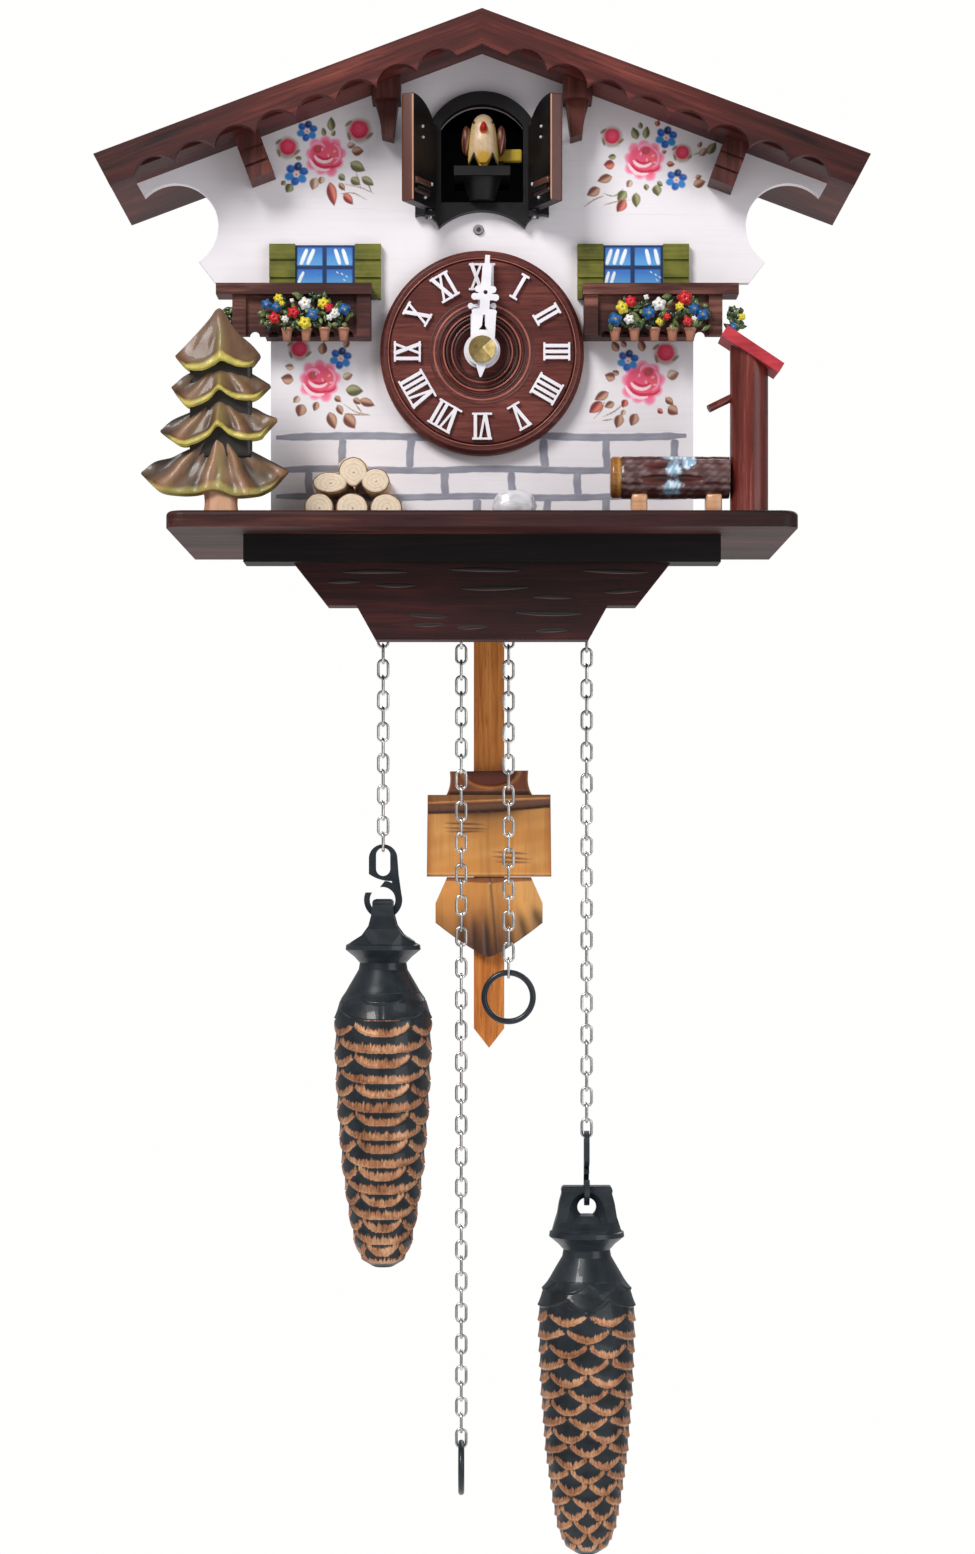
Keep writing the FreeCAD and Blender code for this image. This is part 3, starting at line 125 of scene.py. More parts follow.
# --- Materials -------------------------------------------------------------------------------------
GRAIN_ALONG = {"x": (0.05, 1, 1), "y": (1, 0.05, 1), "z": (1, 1, 0.05)}
FINISH_OF_NODE = {
    "roof": ("roof_boards", "roof_fascias"),
    "bracket": ("roof_brackets",),
    "base": ("base_shelf",),
    "moulding": ("base_moulding",),
    "apron": ("apron_boards",),
    "case": ("side_walls",),
    "back": ("back_board", "back_door", "turn_button"),
    "balcony": ("balconies",),
    "dial": ("dial",),
    "post": ("fountain_post",),
    "log": ("trough",),
    "oak": ("pendulum_stick", "pendulum_bob"),
    "pine": ("firewood",),
    "panel": ("front_panel",),
    "shutter": ("shutters",),
    "red": ("fountain_roof",),
    "fir": ("fir_tree",),
    "pane": ("windows",),
    "leaf": ("balcony_flowers",),
    "stone": ("stone",),
    "white": ("numerals", "minute_hand", "hour_hand"),
    "black": ("door_frame", "door_leaf_left", "door_leaf_right", "doorway_box", "bird_carriage"),
    "bird": ("bird",),
    "grey": ("movement_housing", "battery_holder", "bird_drive", "pendulum_drive", "mode_switch",
             "sound_unit"),
    "cream": ("hour_wheel", "motion_wheel", "pulley_left", "pulley_right"),
    "slate": ("cone_weight_left", "cone_weight_right", "weight_hook_left", "weight_hook_right",
              "pull_ring_left", "pull_ring_right"),
    "brass": ("hand_nut", "hanger_plate"),
    "steel": ("minute_arbor", "small_fasteners", "chain_bracket"),
    "battery": ("batteries",),
    "nickel": ("chain_wraps", "weight_chain_left", "weight_chain_right", "ring_chain_left",
               "ring_chain_right"),
}


def rgb(r, g, b):
    """A screen colour, 0 to 255 a channel, as the linear colour that a shader takes."""
    def linear(v):
        v /= 255.0
        return v / 12.92 if v <= 0.04045 else ((v + 0.055) / 1.055) ** 2.4
    return (linear(r), linear(g), linear(b), 1.0)


def ink(r, g, b):
    """A screen colour as an array of three linear channels, for blending."""
    return np.array(rgb(r, g, b)[:3])


class Graph:
    """One Principled material, with short ways to add nodes in the clock's own coordinates."""

    def __init__(self, name, rough=0.5, metal=0.0, coat=0.0, specular=0.28):
        self.mat = bpy.data.materials.new(name)
        self.mat.use_nodes = True
        self.tree = self.mat.node_tree
        self.tree.nodes.clear()
        self.shader = self.tree.nodes.new("ShaderNodeBsdfPrincipled")
        out = self.tree.nodes.new("ShaderNodeOutputMaterial")
        self.tree.links.new(self.shader.outputs[0], out.inputs[0])
        self.set("Roughness", rough)
        self.set("Metallic", metal)
        self.set("Coat Weight", coat)
        self.set("Specular IOR Level", specular)
        self.place = self.node("TexCoord").outputs["Object"]
        self.normal = None

    def set(self, name, value):
        if isinstance(value, bpy.types.NodeSocket):
            self.tree.links.new(value, self.shader.inputs[name])
        else:
            self.shader.inputs[name].default_value = value

    def node(self, kind, inputs=(), **settings):
        made = self.tree.nodes.new("ShaderNode" + kind)
        for key, value in settings.items():
            setattr(made, key, value)
        for key, value in inputs:
            if isinstance(value, bpy.types.NodeSocket):
                self.tree.links.new(value, made.inputs[key])
            else:
                made.inputs[key].default_value = value
        return made

    def stretched(self, stretch, turn=(0, 0, 0), place=None):
        """Coordinates stretched by a factor along each axis, after a turn in degrees."""
        place = place or self.place
        if any(turn):
            turned = self.node("VectorRotate", [("Vector", place),
                                                ("Rotation", [math.radians(a) for a in turn])],
                               rotation_type="EULER_XYZ")
            place = turned.outputs[0]
        return self.node("VectorMath", [(0, place), (1, stretch)], operation="MULTIPLY").outputs[0]

    def noise(self, scale, place=None, detail=4.0, rough=0.55, twist=0.0):
        made = self.node("TexNoise", [("Vector", place or self.place), ("Scale", scale), ("Detail", detail),
                                      ("Roughness", rough), ("Distortion", twist)])
        return made.outputs["Fac"]

    def ramp(self, fac, stops):
        made = self.node("ValToRGB", [("Fac", fac)])
        band = made.color_ramp
        while len(band.elements) < len(stops):
            band.elements.new(0.5)
        for element, (place, colour) in zip(band.elements, stops):
            element.position = place
            element.color = colour
        return made.outputs["Color"]

    def range(self, value, low, high, new_low=0.0, new_high=1.0):
        made = self.node("MapRange", [("Value", value), ("From Min", low), ("From Max", high),
                                      ("To Min", new_low), ("To Max", new_high)])
        return made.outputs["Result"]

    def math(self, operation, a, b=0.0):
        return self.node("Math", [(0, a), (1, b)], operation=operation).outputs[0]

    def mix(self, fac, a, b, blend="MIX"):
        made = self.node("Mix", data_type="RGBA", blend_type=blend)
        for socket, value in ((made.inputs[0], fac), (made.inputs[6], a), (made.inputs[7], b)):
            if isinstance(value, bpy.types.NodeSocket):
                self.tree.links.new(value, socket)
            else:
                socket.default_value = value
        return made.outputs[2]

    def split(self, place=None):
        return self.node("SeparateXYZ", [(0, place or self.place)]).outputs

    def attribute(self, name, output="Color"):
        return self.node("Attribute", attribute_name=name, attribute_type="GEOMETRY").outputs[output]

    def colour(self, value):
        self.set("Base Color", value)

    def rough(self, value, low, high):
        """Roughness that follows a 0 to 1 value."""
        self.set("Roughness", self.range(value, 0.25, 0.75, low, high))

    def bump(self, height, strength, depth=0.4 * MM):
        """Adds relief. Several calls stack."""
        inputs = [("Height", height), ("Strength", strength), ("Distance", depth)]
        if self.normal is not None:
            inputs.append(("Normal", self.normal))
        self.normal = self.node("Bump", inputs).outputs[0]
        self.set("Normal", self.normal)


def wood(name, dark, middle, light, along="x", rough=(0.42, 0.62), scale=1.0, relief=0.35, coat=0.0,
         blotch=0.5, turn=(0, 0, 0), fold=False, pores=0.35):
    """Stained, lightly varnished wood: long grain, broad blotches, fine pores and worn light streaks."""
    g = Graph(name, coat=coat)
    place = g.place
    if fold:
        x, y, z = g.split()
        place = g.node("CombineXYZ", [(0, g.math("ABSOLUTE", x)), (1, y), (2, z)]).outputs[0]
    stretch = GRAIN_ALONG[along]
    grain = g.noise(420 * scale, g.stretched(stretch, turn, place), detail=6, rough=0.62, twist=0.4)
    fine = g.noise(1900 * scale, g.stretched(stretch, turn, place), detail=3, rough=0.6)
    broad = g.noise(38 * scale, g.stretched([0.35 if s < 1 else 1 for s in stretch], turn, place), detail=3)
    base = g.ramp(g.mix(blotch, grain, broad), [(0.30, dark), (0.52, middle), (0.72, light)])
    pore = g.range(fine, 0.36, 0.47)
    shade = g.mix(g.range(pore, 0.0, 1.0, pores, 0.0), base, dark)
    g.colour(shade)
    g.rough(grain, rough[0], rough[1])
    g.bump(grain, relief, 0.25 * MM)
    g.bump(fine, relief * 0.6, 0.12 * MM)
    return g


def paint(name, main, second, rough=(0.45, 0.6), brush=0.25, along="x", scale=1.0, coat=0.0, dirt=None):
    """Hand-brushed paint: faint streaks and slight colour drift, with dark specks when dirt is given."""
    g = Graph(name, coat=coat)
    streak = g.noise(700 * scale, g.stretched(GRAIN_ALONG[along]), detail=4)
    drift = g.noise(70 * scale, detail=4)
    colour = g.ramp(g.mix(0.4, drift, streak), [(0.34, second), (0.62, main)])
    if dirt:
        speck = g.range(g.noise(330 * scale, detail=5, rough=0.7), 0.60, 0.72)
        colour = g.mix(g.math("MULTIPLY", speck, 0.55), colour, dirt)
    g.colour(colour)
    g.rough(streak, rough[0], rough[1])
    g.bump(streak, brush, 0.12 * MM)
    g.bump(drift, brush * 0.8, 0.3 * MM)
    return g


def plastic(name, main, second, rough=(0.3, 0.42), texture=0.15, scale=1.0, coat=0.0):
    """Moulded plastic: an even colour with faint flow marks and a fine skin texture."""
    g = Graph(name, coat=coat)
    skin = g.noise(2600 * scale, detail=2)
    flow = g.noise(55 * scale, detail=3, twist=1.2)
    g.colour(g.ramp(flow, [(0.35, second), (0.65, main)]))
    g.rough(flow, rough[0], rough[1])
    g.bump(skin, texture, 0.05 * MM)
    return g


def metal(name, bright, dull, rough=(0.22, 0.4), scale=1.0, scratch=0.15, along="z"):
    """Plated or plain metal: drawn lines, tarnish in patches and fine scratches."""
    g = Graph(name, metal=1.0)
    tarnish = g.noise(160 * scale, detail=5, rough=0.65)
    line = g.noise(3000 * scale, g.stretched(GRAIN_ALONG[along]), detail=2)
    g.colour(g.ramp(tarnish, [(0.38, dull), (0.62, bright)]))
    g.rough(tarnish, rough[1], rough[0])
    g.bump(line, scratch, 0.03 * MM)
    return g


def panel_paint():
    """The white wall: the same surface as the painted pieces on it, in one colour."""
    g = Graph("panel_paint", coat=0.05)
    surface(g, PANEL_PALE, (0.42, 0.6), "x", 1.0, 0.12, 0.06)
    return g


def finishes():
    """Every material, by a short name."""
    roof = wood("roof_wood", rgb(16, 5, 5), rgb(78, 28, 24), rgb(150, 74, 62), relief=0.6,
                turn=(0, -20.55, 0), fold=True, blotch=0.6)
    base = wood("base_wood", rgb(16, 5, 6), rgb(56, 22, 20), rgb(108, 60, 52), relief=0.45, blotch=0.6)
    # The moulding's own dark stain, darkened to near black as painted shade for its place under the shelf.
    moulding_stain_and_painted_shade = wood("moulding_wood_and_painted_shade", rgb(5, 3, 5), rgb(13, 7, 9), rgb(34, 18, 20), relief=0.4,
                      blotch=0.65)
    table = {
        "roof": roof,
        "bracket": wood("bracket_wood", rgb(22, 8, 7), rgb(72, 32, 28), rgb(118, 60, 50), "z", relief=0.6),
        "base": base,
        "moulding": moulding_stain_and_painted_shade,
        "apron": wood("apron_wood", rgb(12, 3, 5), rgb(48, 15, 15), rgb(88, 34, 31), relief=0.6,
                      blotch=0.55),
        "case": wood("case_side_wood", rgb(70, 45, 36), rgb(104, 70, 54), rgb(134, 94, 72), "z",
                     rough=(0.6, 0.75)),
        "back": wood("back_wood", rgb(104, 74, 52), rgb(140, 104, 74), rgb(168, 130, 96), "z",
                     rough=(0.62, 0.78)),
        "balcony": wood("balcony_wood", rgb(20, 8, 8), rgb(70, 34, 30), rgb(150, 96, 82), "x", scale=1.6,
                        relief=0.4, blotch=0.6),
        "dial": wood("dial_wood", rgb(54, 18, 16), rgb(96, 42, 36), rgb(134, 74, 64), "x", scale=1.6,
                     relief=0.35, pores=0.6),
        "post": wood("post_wood", rgb(48, 12, 9), rgb(108, 42, 34), rgb(168, 100, 90), "z", scale=1.3,
                     rough=(0.24, 0.4), coat=0.25, relief=0.5),
        "log": wood("log_wood", rgb(52, 27, 30), rgb(92, 58, 62), rgb(140, 108, 112), "x", scale=1.4,
                    rough=(0.25, 0.45), coat=0.2, relief=0.6),
        "oak": wood("oak", rgb(164, 84, 32), rgb(216, 136, 66), rgb(236, 166, 92), "z", rough=(0.32, 0.48),
                    relief=0.3, blotch=0.35, pores=0.6, coat=0.08),
        "pine": wood("pine", rgb(200, 158, 120), rgb(226, 198, 170), rgb(240, 222, 204), "y",
                     rough=(0.6, 0.75)),
        "panel": panel_paint(),
        "shutter": paint("shutter_paint", rgb(118, 118, 44), rgb(62, 66, 26), brush=0.5, scale=1.4),
        "red": paint("red_roof_paint", rgb(196, 62, 72), rgb(138, 34, 44), brush=0.3, rough=(0.35, 0.5)),
        "fir": paint("fir_paint", rgb(116, 92, 56), rgb(78, 56, 34), brush=0.4, along="z",
                     dirt=rgb(52, 36, 24)),
        "pane": paint("window_paint", rgb(88, 142, 204), rgb(58, 100, 168), brush=0.2, rough=(0.3, 0.45)),
        "leaf": paint("foliage_paint", rgb(76, 96, 44), rgb(34, 54, 26), brush=0.4, scale=1.5),
        "stone": paint("pale_stone", rgb(232, 229, 236), rgb(204, 200, 212), brush=0.4, rough=(0.4, 0.6)),
        "white": plastic("white_plastic", rgb(238, 236, 241), rgb(226, 222, 230)),
        "black": plastic("black_plastic", rgb(22, 19, 21), rgb(10, 8, 10), rough=(0.38, 0.55), texture=0.3),
        "bird": paint("bird_paint", rgb(226, 200, 160), rgb(202, 170, 128), brush=0.3, rough=(0.35, 0.5)),
        "grey": plastic("grey_plastic", rgb(50, 46, 52), rgb(34, 31, 36), rough=(0.45, 0.6)),
        "cream": plastic("gear_plastic", rgb(226, 220, 196), rgb(212, 204, 176)),
        "slate": plastic("slate_plastic", rgb(42, 49, 55), rgb(25, 30, 35), rough=(0.26, 0.4), coat=0.2),
        "brass": metal("brass", (0.62, 0.47, 0.19, 1), (0.26, 0.18, 0.07, 1)),
        "steel": metal("steel", (0.66, 0.66, 0.67, 1), (0.42, 0.42, 0.43, 1)),
        "nickel": metal("nickel", (0.78, 0.77, 0.75, 1), (0.42, 0.42, 0.42, 1), rough=(0.18, 0.36)),
        "battery": plastic("battery_sleeve", rgb(60, 84, 132), rgb(40, 58, 100)),
    }
    return {name: graph.mat for name, graph in table.items()}


def finish_cad_nodes(looks):
    for look, nodes in FINISH_OF_NODE.items():
        for name in nodes:
            slots = NODES[name].data.materials
            if not slots:
                slots.append(looks[look])
            for index in range(len(slots)):
                slots[index] = looks[look]


# --- Mesh helpers ----------------------------------------------------------------------------------
def piece(name, points, faces, look, body, tint=None, slot=None, replaces=(), smooth=True, face_looks=None):
    """A mesh object from points in millimetres, in the clock's frame, that rides on a body."""
    mesh = bpy.data.meshes.new(name)
    mesh.from_pydata([tuple(p) for p in np.asarray(points, float) * MM], [], [tuple(f) for f in faces])
    for material in (look if isinstance(look, (list, tuple)) else [look]):
        mesh.materials.append(material)
    mesh.polygons.foreach_set("use_smooth", [smooth] * len(mesh.polygons))
    if face_looks is not None:
        mesh.polygons.foreach_set("material_index", face_looks)
    if tint is not None:
        layer = mesh.color_attributes.new("tint", "FLOAT_COLOR", "POINT")
        rgba = np.ones((len(points), 4), np.float32)
        tint = np.asarray(tint, float)
        rgba[:, :tint.shape[1]] = tint
        layer.data.foreach_set("color", rgba.ravel())
    mesh.validate()
    mesh.update()
    made = bpy.data.objects.new(name, mesh)
    bpy.context.scene.collection.objects.link(made)
    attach(made, body)
    if replaces:
        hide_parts(*replaces)
    return made


def grid_faces(rows, columns, start=0, flip=False, wrap=False):
    """Quads over a grid of points stored row by row."""
    faces = []
    last = columns if wrap else columns - 1
    for r in range(rows - 1):
        for c in range(last):
            a = start + r * columns + c
            b = start + r * columns + (c + 1) % columns
            quad = (a, b, b + columns, a + columns)
            faces.append(quad[::-1] if flip else quad)
    return faces


def ring_faces(rows, around):
    """Faces of a closed solid of stacked rings, with a flat end at each side."""
    faces = grid_faces(rows, around, wrap=True)
    faces += [tuple(range(around))[::-1], tuple(range((rows - 1) * around, rows * around))]
    return faces


def slab(x, z, front, back):
    """A closed slab: a front grid in relief, a rim and one flat back. Returns points, faces, rim ids."""
    rows, columns = x.shape
    count = rows * columns
    rim = [(0, c) for c in range(columns)] + [(r, columns - 1) for r in range(1, rows)]
    rim += [(rows - 1, c) for c in range(columns - 2, -1, -1)] + [(r, 0) for r in range(rows - 2, 0, -1)]
    ids = [r * columns + c for r, c in rim]
    points = np.stack([x, front, z], -1).reshape(-1, 3)
    behind = points[ids].copy()
    behind[:, 1] = back
    faces = grid_faces(rows, columns)
    total = len(ids)
    for k in range(total):
        after = (k + 1) % total
        faces.append((ids[after], ids[k], count + k, count + after))
    faces.append(tuple(range(count, count + total)))
    return np.concatenate([points, behind]), faces, ids


def slab_part(x, z, front, back, tint):
    """A slab with its front's colours carried over the rim."""
    points, faces, ids = slab(x, z, front, back)
    colours = tint.reshape(-1, 3)
    return points, faces, np.concatenate([colours, colours[ids]])


def joined(parts):
    """Several (points, faces, tint) sets as one."""
    points, faces, tints, start = [], [], [], 0
    for p, f, t in parts:
        points.append(np.asarray(p, float))
        faces += [tuple(i + start for i in face) for face in f]
        tints.append(np.asarray(t, float))
        start += len(p)
    return np.concatenate(points), faces, np.concatenate(tints)


def smooth_curve(points, steps=14):
    """Points along a smooth curve through the given ones."""
    pts = [np.array(p, float) for p in points]
    pts = [2 * pts[0] - pts[1]] + pts + [2 * pts[-1] - pts[-2]]
    out = []
    for a, b, c, d in zip(pts, pts[1:], pts[2:], pts[3:]):
        for k in range(steps):
            t = k / steps
            out.append(0.5 * (2 * b + (c - a) * t + (2 * a - 5 * b + 4 * c - d) * t ** 2
                              + (3 * b - a - 3 * c + d) * t ** 3))
    out.append(pts[-2])
    return np.array(out)


def along(points, values, steps=14):
    """The curve's second coordinate at each value of its first."""
    curve = smooth_curve(points, steps)
    order = np.argsort(curve[:, 0])
    return np.interp(values, curve[order, 0], curve[order, 1])


def step_up(value, low, high):
    """0 below low, 1 above high, and smooth between."""
    t = np.clip((value - low) / (high - low), 0, 1)
    return t * t * (3 - 2 * t)


def blended(base, top, amount):
    """One colour laid over another, by an amount for each point."""
    amount = np.asarray(amount)[..., None]
    return base * (1 - amount) + np.asarray(top)[:3] * amount


def ripple(x, z, scale, seed=0.0):
    """A cheap smooth irregular wave between -1 and 1, the same each run."""
    a = np.sin(x * scale * 1.3 + seed) + np.sin(z * scale * 1.7 + seed * 2.1)
    b = np.sin((x + z) * scale * 0.9 + seed * 3.7) + np.sin((x - 1.3 * z) * scale * 2.3 + seed * 0.7)
    return (a + b) / 4


def surface(g, base, rough, grain, scale, relief, drift):
    """Grain, drift and wear laid over a colour or a colour socket."""
    streak = g.noise(650 * scale, g.stretched(GRAIN_ALONG[grain]), detail=5)
    cloud = g.noise(120 * scale, detail=4)
    fine = g.noise(2300 * scale, g.stretched(GRAIN_ALONG[grain]), detail=3)
    dark = g.mix(1.0, base, (0.45, 0.42, 0.42, 1), "MULTIPLY")
    light = g.mix(1.0, base, (1.28, 1.26, 1.22, 1), "MULTIPLY")
    shade = g.mix(g.range(streak, 0.30, 0.52), dark, base)
    shade = g.mix(drift, base, shade)
    shade = g.mix(g.range(cloud, 0.52, 0.75, 0.0, drift), shade, light)
    g.colour(shade)
    g.rough(cloud, rough[0], rough[1])
    g.bump(streak, relief, 0.15 * MM)
    g.bump(fine, relief * 0.5, 0.06 * MM)


def tinted(name, rough=(0.45, 0.65), coat=0.0, grain="z", scale=1.0, relief=0.3, drift=0.3, specular=0.5):
    """Hand-painted or stained surface: colours come from the piece, with grain, drift and wear on top."""
    g = Graph(name, coat=coat, specular=specular)
    surface(g, g.attribute("tint"), rough, grain, scale, relief, drift)
    return g.mat


# --- Fir tree --------------------------------------------------------------------------------------
FIR_RIDGE_X = -87.2
FIR_TIERS = [
    # top edge and drip edge, left tip to right tip
    ([(-102.2, -78.5), (-97.2, -73.5), (-91.2, -66.7), (-88.6, -63.2), (-86.4, -63.5), (-82.2, -70.0),
      (-76.7, -75.0), (-74.1, -78.0)],
     [(-102.2, -79.0), (-99.2, -82.3), (-97.2, -83.4), (-93.2, -83.5), (-89.2, -81.8), (-87.0, -80.3),
      (-84.2, -81.3), (-81.2, -82.3), (-77.2, -82.2), (-74.7, -79.5), (-74.1, -78.5)]),
    ([(-103.5, -88.9), (-98.5, -84.9), (-94.2, -83.7), (-88.2, -82.2), (-81.2, -82.9), (-77.0, -84.4),
      (-70.7, -88.2)],
     [(-103.5, -89.4), (-101.7, -92.0), (-98.2, -95.6), (-94.2, -95.0), (-90.7, -93.0), (-87.7, -90.0),
      (-84.7, -91.8), (-81.2, -93.3), (-75.7, -93.1), (-70.7, -88.7)]),
    ([(-107.2, -103.4), (-103.2, -100.0), (-97.7, -97.5), (-92.2, -95.0), (-87.7, -92.2), (-82.2, -94.5),
      (-76.0, -96.0), (-72.2, -98.0), (-68.5, -99.4)],
     [(-107.2, -104.0), (-104.2, -106.2), (-100.2, -108.6), (-95.7, -108.0), (-91.2, -105.5),
      (-88.0, -102.2), (-84.2, -105.0), (-79.7, -106.7), (-74.2, -106.2), (-72.2, -104.2),
      (-68.5, -100.2)]),
    ([(-113.6, -117.4), (-109.2, -114.0), (-103.7, -112.5), (-99.5, -110.5), (-94.2, -108.0),
      (-90.2, -105.4), (-87.9, -103.2), (-84.2, -106.5), (-81.2, -108.4), (-76.7, -110.4), (-71.7, -113.0),
      (-64.7, -116.7)],
     [(-113.6, -118.1), (-110.2, -121.5), (-106.7, -124.2), (-100.2, -125.1), (-95.2, -124.9),
      (-91.2, -124.0), (-87.2, -124.0), (-82.2, -125.8), (-75.2, -125.3), (-72.2, -124.3), (-69.2, -122.3),
      (-64.7, -117.3)]),
]
FIR_DRIP = ink(206, 192, 92)
FIR_BARK = ink(98, 66, 42)
FIR_OLIVE = ink(128, 112, 62)
# Near-black brown used only as painted shade on the tree: in the furrows, under each skirt and in the gaps
# between skirts.
FIR_PAINTED_SHADE = ink(40, 27, 18)
FIR_PALE = ink(160, 120, 90)
FIR_FOOT = NODES["fir_tree"].bound_box[0][2] / MM


def fir_tier(index, top, drip):
    """One skirt of branches: it swells towards the drip edge, with furrows that fan out from its peak."""
    columns, rows = 96, 40
    left, right = top[0][0], top[-1][0]
    across = np.linspace(0, 1, columns)
    xs = left + (right - left) * across
    upper = along(top, xs)
    lower = np.minimum(along(drip, xs), upper - 0.3)
    v = np.linspace(0, 1, rows)[:, None]
    x = np.broadcast_to(xs, (rows, columns)).copy()
    z = upper + (lower - upper) * v
    peak = max(p[1] for p in top)
    fan = np.arctan2(x - FIR_RIDGE_X, peak + 2.5 - z)
    reach = np.hypot(x - FIR_RIDGE_X, peak - z)
    furrow = np.sin(fan * (9.0 + index) + 1.3 * index + 0.4 * np.sin(reach * 0.5))
    furrow += 0.5 * np.sin(fan * (17.0 + 2 * index) + 2.0 * index)
    strength = step_up(reach, 2.0, 11.0) * (0.35 + 0.22 * index)
    ridge = np.exp(-((x - FIR_RIDGE_X) / 1.5) ** 2) * step_up(v, 0.0, 0.7)
    lip = step_up(v, 0.72, 0.93) * (1 - step_up(v, 0.95, 1.0) * 0.6)
    edge = np.minimum(across, 1 - across)
    swell = 3.4 * v ** 1.4 + 0.55 * furrow * strength + 0.7 * ridge + 0.55 * lip
    rim = step_up(edge, 0.0, 0.05)
    front = -(95.0 + swell * (0.25 + 0.75 * rim))
    tint = np.broadcast_to(FIR_BARK, x.shape + (3,)).copy()
    moss = step_up(ripple(x, z, 0.35, index), -0.1, 0.5) * 0.7 * v * (0.4 + 0.2 * index)
    tint = blended(tint, FIR_OLIVE, moss)
    if index == 3:
        tint = blended(tint, FIR_PALE, np.exp(-((x - FIR_RIDGE_X) / 4.5) ** 2) * 0.75)
    # Painted shade in the troughs of the furrows and painted highlight on their crests.
    tint = blended(tint, FIR_PAINTED_SHADE, np.clip(-furrow, 0, 1) * strength * 0.85)
    tint = blended(tint, FIR_PALE, np.clip(furrow - 0.5, 0, 1) * strength * 0.6)
    tint = blended(tint, FIR_OLIVE * 1.15, ridge * 0.8)
    fade = 1.0 if index < 3 else 0.45
    band = step_up(v, 0.80 + 0.04 * ripple(x, z, 0.6, 5), 0.90) * fade
    near_tip = step_up(edge, 0.03, 0.14)
    tint = blended(tint, FIR_DRIP, band * near_tip * (0.75 + 0.25 * ripple(x, z, 0.9, 2)))
    # Painted shadow: the top of each lower skirt is darkened under the drip edge of the skirt above.
    if index:
        tint = blended(tint, FIR_PAINTED_SHADE * 0.5, 1 - step_up(v, 0.02, 0.22))
    return slab_part(x, z, front, -90.0 - 0.4 * index, tint)


def fir_core():
    """A near-black slab between the tiers: painted shade seen in the gaps under each drip edge."""
    xs, zs = np.linspace(-97.4, -76.9, 12), np.linspace(-80.5, -112.5, 20)
    x, z = np.meshgrid(xs, zs)
    front = -95.4 + 0.02 * np.abs(x - FIR_RIDGE_X)
    return slab_part(x, z, front, -90.2, np.broadcast_to(FIR_PAINTED_SHADE * 0.35, x.shape + (3,)))


def fir_trunk():
    """The pale peg of a trunk, a little wider at its top and foot."""
    rows, around = 14, 40
    heights = np.linspace(-123.6, FIR_FOOT, rows)
    points, tint = [], []
    for z in heights:
        t = (z + 123.6) / (FIR_FOOT + 123.6)
        half = 5.9 - 0.55 * math.sin(t * math.pi) + 0.25 * t
        for k in range(around):
            a = 2 * math.pi * k / around
            c, s = math.cos(a), math.sin(a)
            squared = 0.35
            x = half * math.copysign(abs(c) ** (1 - squared), c)
            y = 3.4 * math.copysign(abs(s) ** (1 - squared), s)
            points.append((FIR_RIDGE_X + 0.1 + x, -93.6 + y, z))
            # Painted shade: the rounded sides are darker than the pale front.
            tint.append(rgb(214, 166, 132)[:3] if abs(x) < 3.8 else rgb(186, 128, 98)[:3])
    faces = grid_faces(rows, around, wrap=True)
    faces += [tuple(range(around)), tuple(range((rows - 1) * around, rows * around))[::-1]]
    return points, faces, tint


def fir_tree():
    parts = [fir_tier(k, top, drip) for k, (top, drip) in enumerate(FIR_TIERS)] + [fir_core(), fir_trunk()]
    points, faces, tint = joined(parts)
    look = tinted("fir_tree_paint", rough=(0.38, 0.6), coat=0.15, scale=1.3, drift=0.35, relief=0.5)
    piece("fir_tree_carving", points, faces, look, "case", tint, "fir_paint", ["fir_tree"])


# --- Fir cone weights ------------------------------------------------------------------------------
CONE_PROFILE = [(-30.5, 12.35), (-35.0, 15.0), (-41.0, 16.2), (-50.0, 16.2), (-70.0, 15.4), (-92.0, 13.7),
                (-109.0, 11.3), (-119.0, 9.4), (-125.4, 6.8), (-128.0, 3.2)]
CENTRE_ROWS = [-30.0, -41.3, -52.4, -63.0, -73.0, -82.7, -92.2, -101.5, -110.6, -119.4, -127.5]
SIDE_ROWS = [-35.6, -46.7, -57.7, -68.0, -77.8, -87.4, -96.8, -106.0, -115.0, -123.6]
CENTRE_LOBES = [(0.0, 27.0), (90.0, 63.0)]
SIDE_LOBES = [(27.0, 27.0), (90.0, 36.0)]
CONE_DEEP = 128.4


def lobe_edge(angle, lobes, drop):
    """How far a row's lower edge hangs, for an angle from the middle of the scaly face; cusps point up."""
    hang = np.zeros_like(angle)
    for centre, half in lobes:
        inside = np.abs(angle - centre) <= half
        t = np.clip(np.abs(angle - centre) / half, 0, 1)
        power = 2.0 if half < 30 else 3.2
        hang = np.where(inside, np.maximum(hang, drop * (1 - t ** power)), hang)
    return hang


